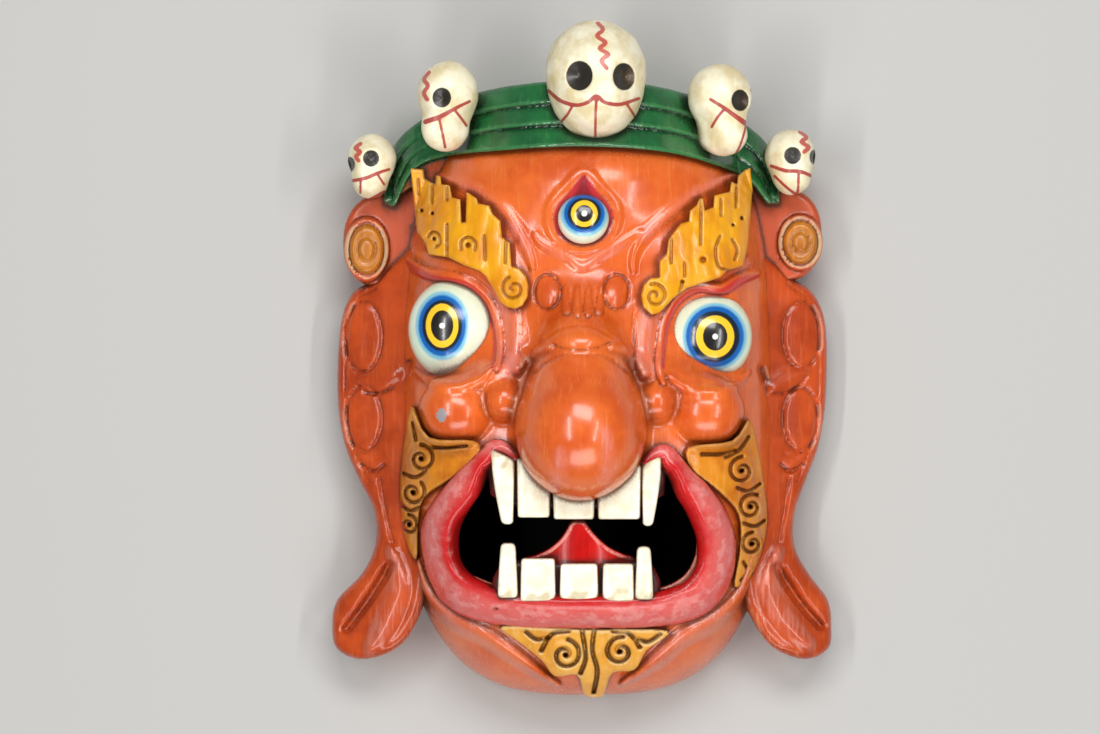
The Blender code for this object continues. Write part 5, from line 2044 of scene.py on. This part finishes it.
    def make_sides(self) -> None:
        """Ears and the bosses above them."""
        self.carvings += [
            Ear("left_ear", EAR_PAINT, 1.5, (-154.0, -181.0, -2.0), (-84.0, 70.0, 62.0), outline=(
                (-90, 66), (-108, 62), (-124, 49), (-137, 41), (-144, 22), (-146, -18), (-142, -48),
                (-133, -70),
                (-124, -88), (-123, -108), (-131, -126), (-146, -142), (-149, -158), (-146, -171),
                (-132, -177), (-113, -172), (-100, -158), (-92, -130), (-90, -60)),
                loops=(((-130.0, 15.0), (11.5, 21.0)), ((-129.5, -33.5), (11.0, 19.5))),
                cuts=((((-131, -61), (-124, -65), (-117, -61)), 2.0, 2.2),
                      (((-129, -54), (-124, -56.5), (-118, -55)), 1.5, 1.0),
                      (((-134, -13), (-128, -18), (-120, -18.5), (-112, -15)), 1.7, 1.8),
                      (((-120, -70), (-116, -92), (-111, -112)), 2.0, 1.6),
                      (((-140, -159), (-128, -143), (-114, -121)), 4.4, 5.6)),
                crests=((((-112, -7, 7), (-121, -10, 9), (-131, -13, 6)), 2.6),
                        (((-113, -112, 5), (-109, -132, 9), (-116, -152, 10), (-126, -170, 6)), 3.6))),
            Ear("right_ear", EAR_PAINT, 1.5, (86.0, -181.0, -2.0), (154.0, 70.0, 62.0), outline=(
                (92, 66), (110, 62), (126, 50), (139, 40), (146, 20), (146, -20), (142, -48), (134, -70),
                (127, -90), (127, -110), (136, -127), (147, -142), (149, -158), (147, -171), (133, -177),
                (114, -170), (102, -154), (94, -130), (92, -60)),
                loops=(((130.5, 16.0), (11.5, 20.0)), ((130.0, -34.0), (11.0, 19.0))),
                cuts=((((118, -61), (124, -65), (131, -61)), 2.0, 2.2),
                      (((120, -54), (125, -56.5), (130, -54)), 1.5, 1.0),
                      (((134, -8), (129, -14), (122, -18), (114, -19)), 1.7, 1.8),
                      (((123, -70), (120, -92), (116, -112)), 2.0, 1.6),
                      (((142, -157), (130, -143), (116, -122)), 4.4, 5.6)),
                crests=((((115, -15, 7), (123, -11, 9), (132, -6, 6)), 2.6),
                        (((117, -112, 5), (112, -132, 9), (120, -152, 10), (135, -168, 6)), 3.6))),
            Boss("left_ear_boss", BOSS_PAINT, 1.45, (-146.0, 36.0, -2.0), (-85.0, 107.0, 50.0),
                 centre=(-128.0, 67.0), radii=(13.5, 19.5),
                 block=((-86, 104), (-110, 104), (-131, 97), (-141, 82), (-141, 60), (-131, 47),
                        (-110, 44), (-86, 44))),
            Boss("right_ear_boss", BOSS_PAINT, 1.45, (87.0, 36.0, -2.0), (147.0, 109.0, 50.0),
                 centre=(130.0, 71.0), radii=(13.5, 17.0),
                 block=((88, 106), (112, 106), (133, 100), (142, 86), (142, 64), (132, 51), (112, 46),
                        (88, 44))),
        ]

    def make_crown(self) -> None:
        """The green boards and the five skulls."""
        self.carvings.append(CrownBand("crown_band", GREEN_PAINT, 1.35, (-121.0, 80.0, -2.0),
                                       (121.0, 171.0, 148.0), head=self.head))
        skulls = (
            ("centre_skull", 1.1, (8.0, 170.0, 96.0), (29.5, 30.5, 30.0), 0.0, 19.0, 0.76,
             (((-1.8, 166.6), (7.7, 8.7)), ((24.0, 166.2), (6.4, 8.0))),
             ((9, 198), (12, 194), (8.5, 190), (13.5, 186), (10, 182.5), (15, 179), (11, 175.5), (14, 171)),
             (((-20, 159, .9), (-13, 152.5, 1.1), (-4, 149.5, 1.1), (3, 151, 1.1), (8, 154.5, 1.3),
               (13, 151, 1.1),
               (22, 150, 1.1), (33, 154, .9)), ((8, 153, .9), (7.6, 143, .8), (7.6, 132, .8)),
              ((-6, 149, .8), (-9, 144, .8), (-14, 139, .8)),
              ((26, 150, .8), (29, 146, .8), (32, 142, .8)))),
            ("inner_left_skull", 1.0, (-79.0, 158.0, 80.0), (17.0, 19.5, 18.5), -50.0, 21.0, 0.6,
             (((-82.4, 155.0), (5.5, 5.8)),),
             ((-90, 170), (-93, 166), (-90.5, 162), (-93, 158), (-91, 154)),
             (((-92, 141, 1.5), (-83, 144, 1.4), (-74, 149, 1.0), (-66, 153, .8)),
              ((-75, 148, .8), (-71, 143, .8), (-68, 139, .8)),
              ((-84, 143, .8), (-82, 134, .8), (-80.5, 126, .8)))),
            ("inner_right_skull", 1.0, (81.0, 156.0, 80.0), (18.0, 19.5, 19.5), 50.0, 22.0, 0.6,
             (((92.6, 153.5), (5.2, 6.3)),), ((100, 160), (102, 156), (100.5, 152), (102, 148)),
             (((75, 154, .9), (83, 149, 1.1), (90, 144, 1.4), (99, 138, 1.8)),
              ((83, 148, .8), (79, 143, .8), (76, 138, .8)),
              ((96, 138, .7), (93, 128, .7), (90, 122, .7)))),
            ("outer_left_skull", 1.0, (-124.5, 120.0, 54.0), (14.0, 15.0, 15.5), -24.0, 13.5, 0.68,
             (((-124.6, 120.2), (4.8, 4.9)), ((-137.6, 116.8), (3.4, 4.6))),
             ((-131, 129), (-134, 126.5), (-131, 124), (-133.5, 121.5), (-132, 119)),
             (((-137, 107, 1.0), (-128, 108.5, 1.1), (-121, 111.5, 1.0), (-114, 114, .8)),
              ((-130.8, 107, .7), (-131, 100, .7)), ((-121, 111, .7), (-117, 105, .7)),
              ((-132, 94, .8), (-124, 97, .8), (-117, 101, .8)))),
            ("outer_right_skull", 1.0, (123.5, 122.5, 54.0), (14.5, 15.5, 16.0), 28.0, 13.5, 0.68,
             (((124.3, 121.9), (5.0, 5.1)), ((137.6, 121.3), (3.2, 4.4))),
             ((129, 136), (133, 133), (129.5, 130), (134, 127), (131, 124)),
             (((112, 116, .9), (120, 113, 1.1), (129, 112.4, 1.1), (138, 109, 1.0)),
              ((127.8, 111, .8), (127.6, 100, .8)), ((114, 110, .8), (120, 104, .8), (127, 99, .8),
                                                     (133, 97, .8)))),
        )
        for name, cell, centre, radii, turn, drop, jaw, sockets, suture, creases in skulls:
            spread = max(radii) + 8.0
            low = (centre[0] - spread, centre[1] - drop - 0.66 * radii[1] - 5.0, -2.0)
            high = (centre[0] + spread, centre[1] + radii[1] + 4.0, centre[2] + radii[2] * 1.15 + 4.0)
            self.carvings.append(Skull(name, BONE_PAINT, cell, low, high, centre=centre, radii=radii,
                                       turn=turn,
                                       drop=drop, jaw=jaw, sockets=sockets, suture=suture, creases=creases))

    def around(self, x: Array, y: Array, z: Array) -> Array:
        """Distance to the whole mask, for the shade that its parts give each other.

        Args:
            x, y, z: Places, in millimetres.

        Returns:
            Signed distance, large where nothing is near.
        """
        best = np.full(np.shape(x), 50.0)
        for one in self.carvings:
            low, high = np.array(one.low) - self.margin, np.array(one.high) + self.margin
            near = (x > low[0]) & (x < high[0]) & (y > low[1]) & (y < high[1]) & (z > low[2]) & (z < high[2])
            if near.any():
                best[near] = np.minimum(best[near], one.law(x[near], y[near], z[near]))
        return best

    def build(self) -> None:
        """Net, dress and report every piece."""
        self.make_head()
        self.make_mouth()
        self.make_ornaments()
        self.make_sides()
        self.make_crown()
        for one in self.carvings:
            piece, points, outward = one.build()
            one.dress(piece, points, outward, self.around)
            log.info("%s: %d faces", piece.name, len(piece.data.polygons))


@dataclass
class Light:
    """A soft studio light over the mask, in metres."""

    name: str
    place: Place
    size: Point
    power: float
    colour: str = "#ffffff"
    aim: Place = (0.0, 0.0, 0.06)

    def build(self) -> None:
        """Hang the light so that it faces the middle of the mask."""
        lamp = bpy.data.lights.new(self.name, "AREA")
        lamp.shape = "RECTANGLE"
        lamp.size, lamp.size_y = self.size
        lamp.energy = self.power
        lamp.color = linear(self.colour)[:3]
        holder = bpy.data.objects.new(self.name, lamp)
        holder.location = self.place
        aim = Vector(self.aim) - Vector(self.place)
        holder.rotation_euler = aim.to_track_quat("-Z", "Y").to_euler()
        bpy.context.scene.collection.objects.link(holder)


@dataclass
class Studio:
    """Floor, lights and camera."""

    floor_size: float = 6.0
    floor_colour: str = "#b9b8b5"
    shade_card_box: Tuple[float, float, float, float] = (-0.082, 0.086, -0.165, 0.095)
    shade_card_colour: str = "#0a0908"
    camera_height: float = 4.0
    plane_height: float = 0.06
    pixel: float = 0.0005917
    frame_pixels: float = 1100.0
    shift_pixels: Point = (-32.0, -5.0)
    sensor: float = 36.0
    air_colour: str = "#e8e9ec"
    air_strength: float = 0.2
    lights: Tuple[Light, ...] = (
        Light("overhead_softbox", (0.15, 1.0, 1.8), (1.3, 0.6), 24.5),
        Light("left_strip", (-0.75, 0.05, 1.7), (1.3, 0.10), 11.0),
        Light("right_strip", (0.9, -0.1, 1.5), (1.2, 0.08), 7.5),
        Light("chin_fill", (0.1, -1.4, 1.1), (1.4, 0.6), 13.5),
    )

    def build(self) -> None:
        """Lay the floor, hang the lights and set up the camera."""
        half = 0.5 * self.floor_size
        self._sheet("floor", (-half, half, -half, half), 0.0, "matt_studio_paper", self.floor_colour, 0.9,
                    0.5)
        # Painted shade: a black card inside the hollow stands in for the shade seen through the open mouth
        self._sheet("mouth_shade_card", self.shade_card_box, 0.4 * MM, "matt_mouth_shade_card", self.shade_card_colour, 1.0, 0.1)
        for light in self.lights:
            light.build()
        self._camera()
        world = bpy.data.worlds.new("studio_air")
        world.use_nodes = True
        world.node_tree.nodes["Background"].inputs["Color"].default_value = linear(self.air_colour)
        world.node_tree.nodes["Background"].inputs["Strength"].default_value = self.air_strength
        bpy.context.scene.world = world
        bpy.context.scene.view_settings.view_transform = "Standard"

    def _sheet(self, name: str, box: Tuple[float, float, float, float], rise: float, finish: str,
               colour: str, roughness: float, specular: float) -> None:
        """Lay one flat sheet under the mask.

        Args:
            name: The sheet's name.
            box: Its lowest and highest x, then its lowest and highest y.
            rise: The height that it lies at.
            finish: The name of its material.
            colour: Its colour.
            roughness: How matt it is.
            specular: How strongly it reflects.
        """
        low_x, high_x, low_y, high_y = box
        mesh = bpy.data.meshes.new(name)
        corners = [(low_x, low_y, rise), (high_x, low_y, rise), (high_x, high_y, rise),
                   (low_x, high_y, rise)]
        mesh.from_pydata(corners, [], [(0, 1, 2, 3)])
        sheet = bpy.data.objects.new(name, mesh)
        bpy.context.scene.collection.objects.link(sheet)
        material = bpy.data.materials.new(finish)
        material.use_nodes = True
        shader = material.node_tree.nodes["Principled BSDF"]
        shader.inputs["Base Color"].default_value = linear(colour)
        shader.inputs["Roughness"].default_value = roughness
        shader.inputs["Specular IOR Level"].default_value = specular
        mesh.materials.append(material)

    def _camera(self) -> None:
        """Look straight down on the face, framed as in the photograph."""
        lens = bpy.data.cameras.new("camera")
        lens.sensor_width = self.sensor
        lens.lens = self.sensor * (self.camera_height - self.plane_height) / (self.frame_pixels * self.pixel)
        camera = bpy.data.objects.new("camera", lens)
        camera.location = (self.shift_pixels[0] * self.pixel, self.shift_pixels[1] * self.pixel,
                           self.camera_height)
        bpy.context.scene.collection.objects.link(camera)
        bpy.context.scene.camera = camera


def main() -> None:
    """Build the mask and its studio."""
    logging.basicConfig(level=logging.INFO, format="%(name)s: %(message)s")
    DanceMask().build()
    Studio().build()


if __name__ == "__main__":
    main()
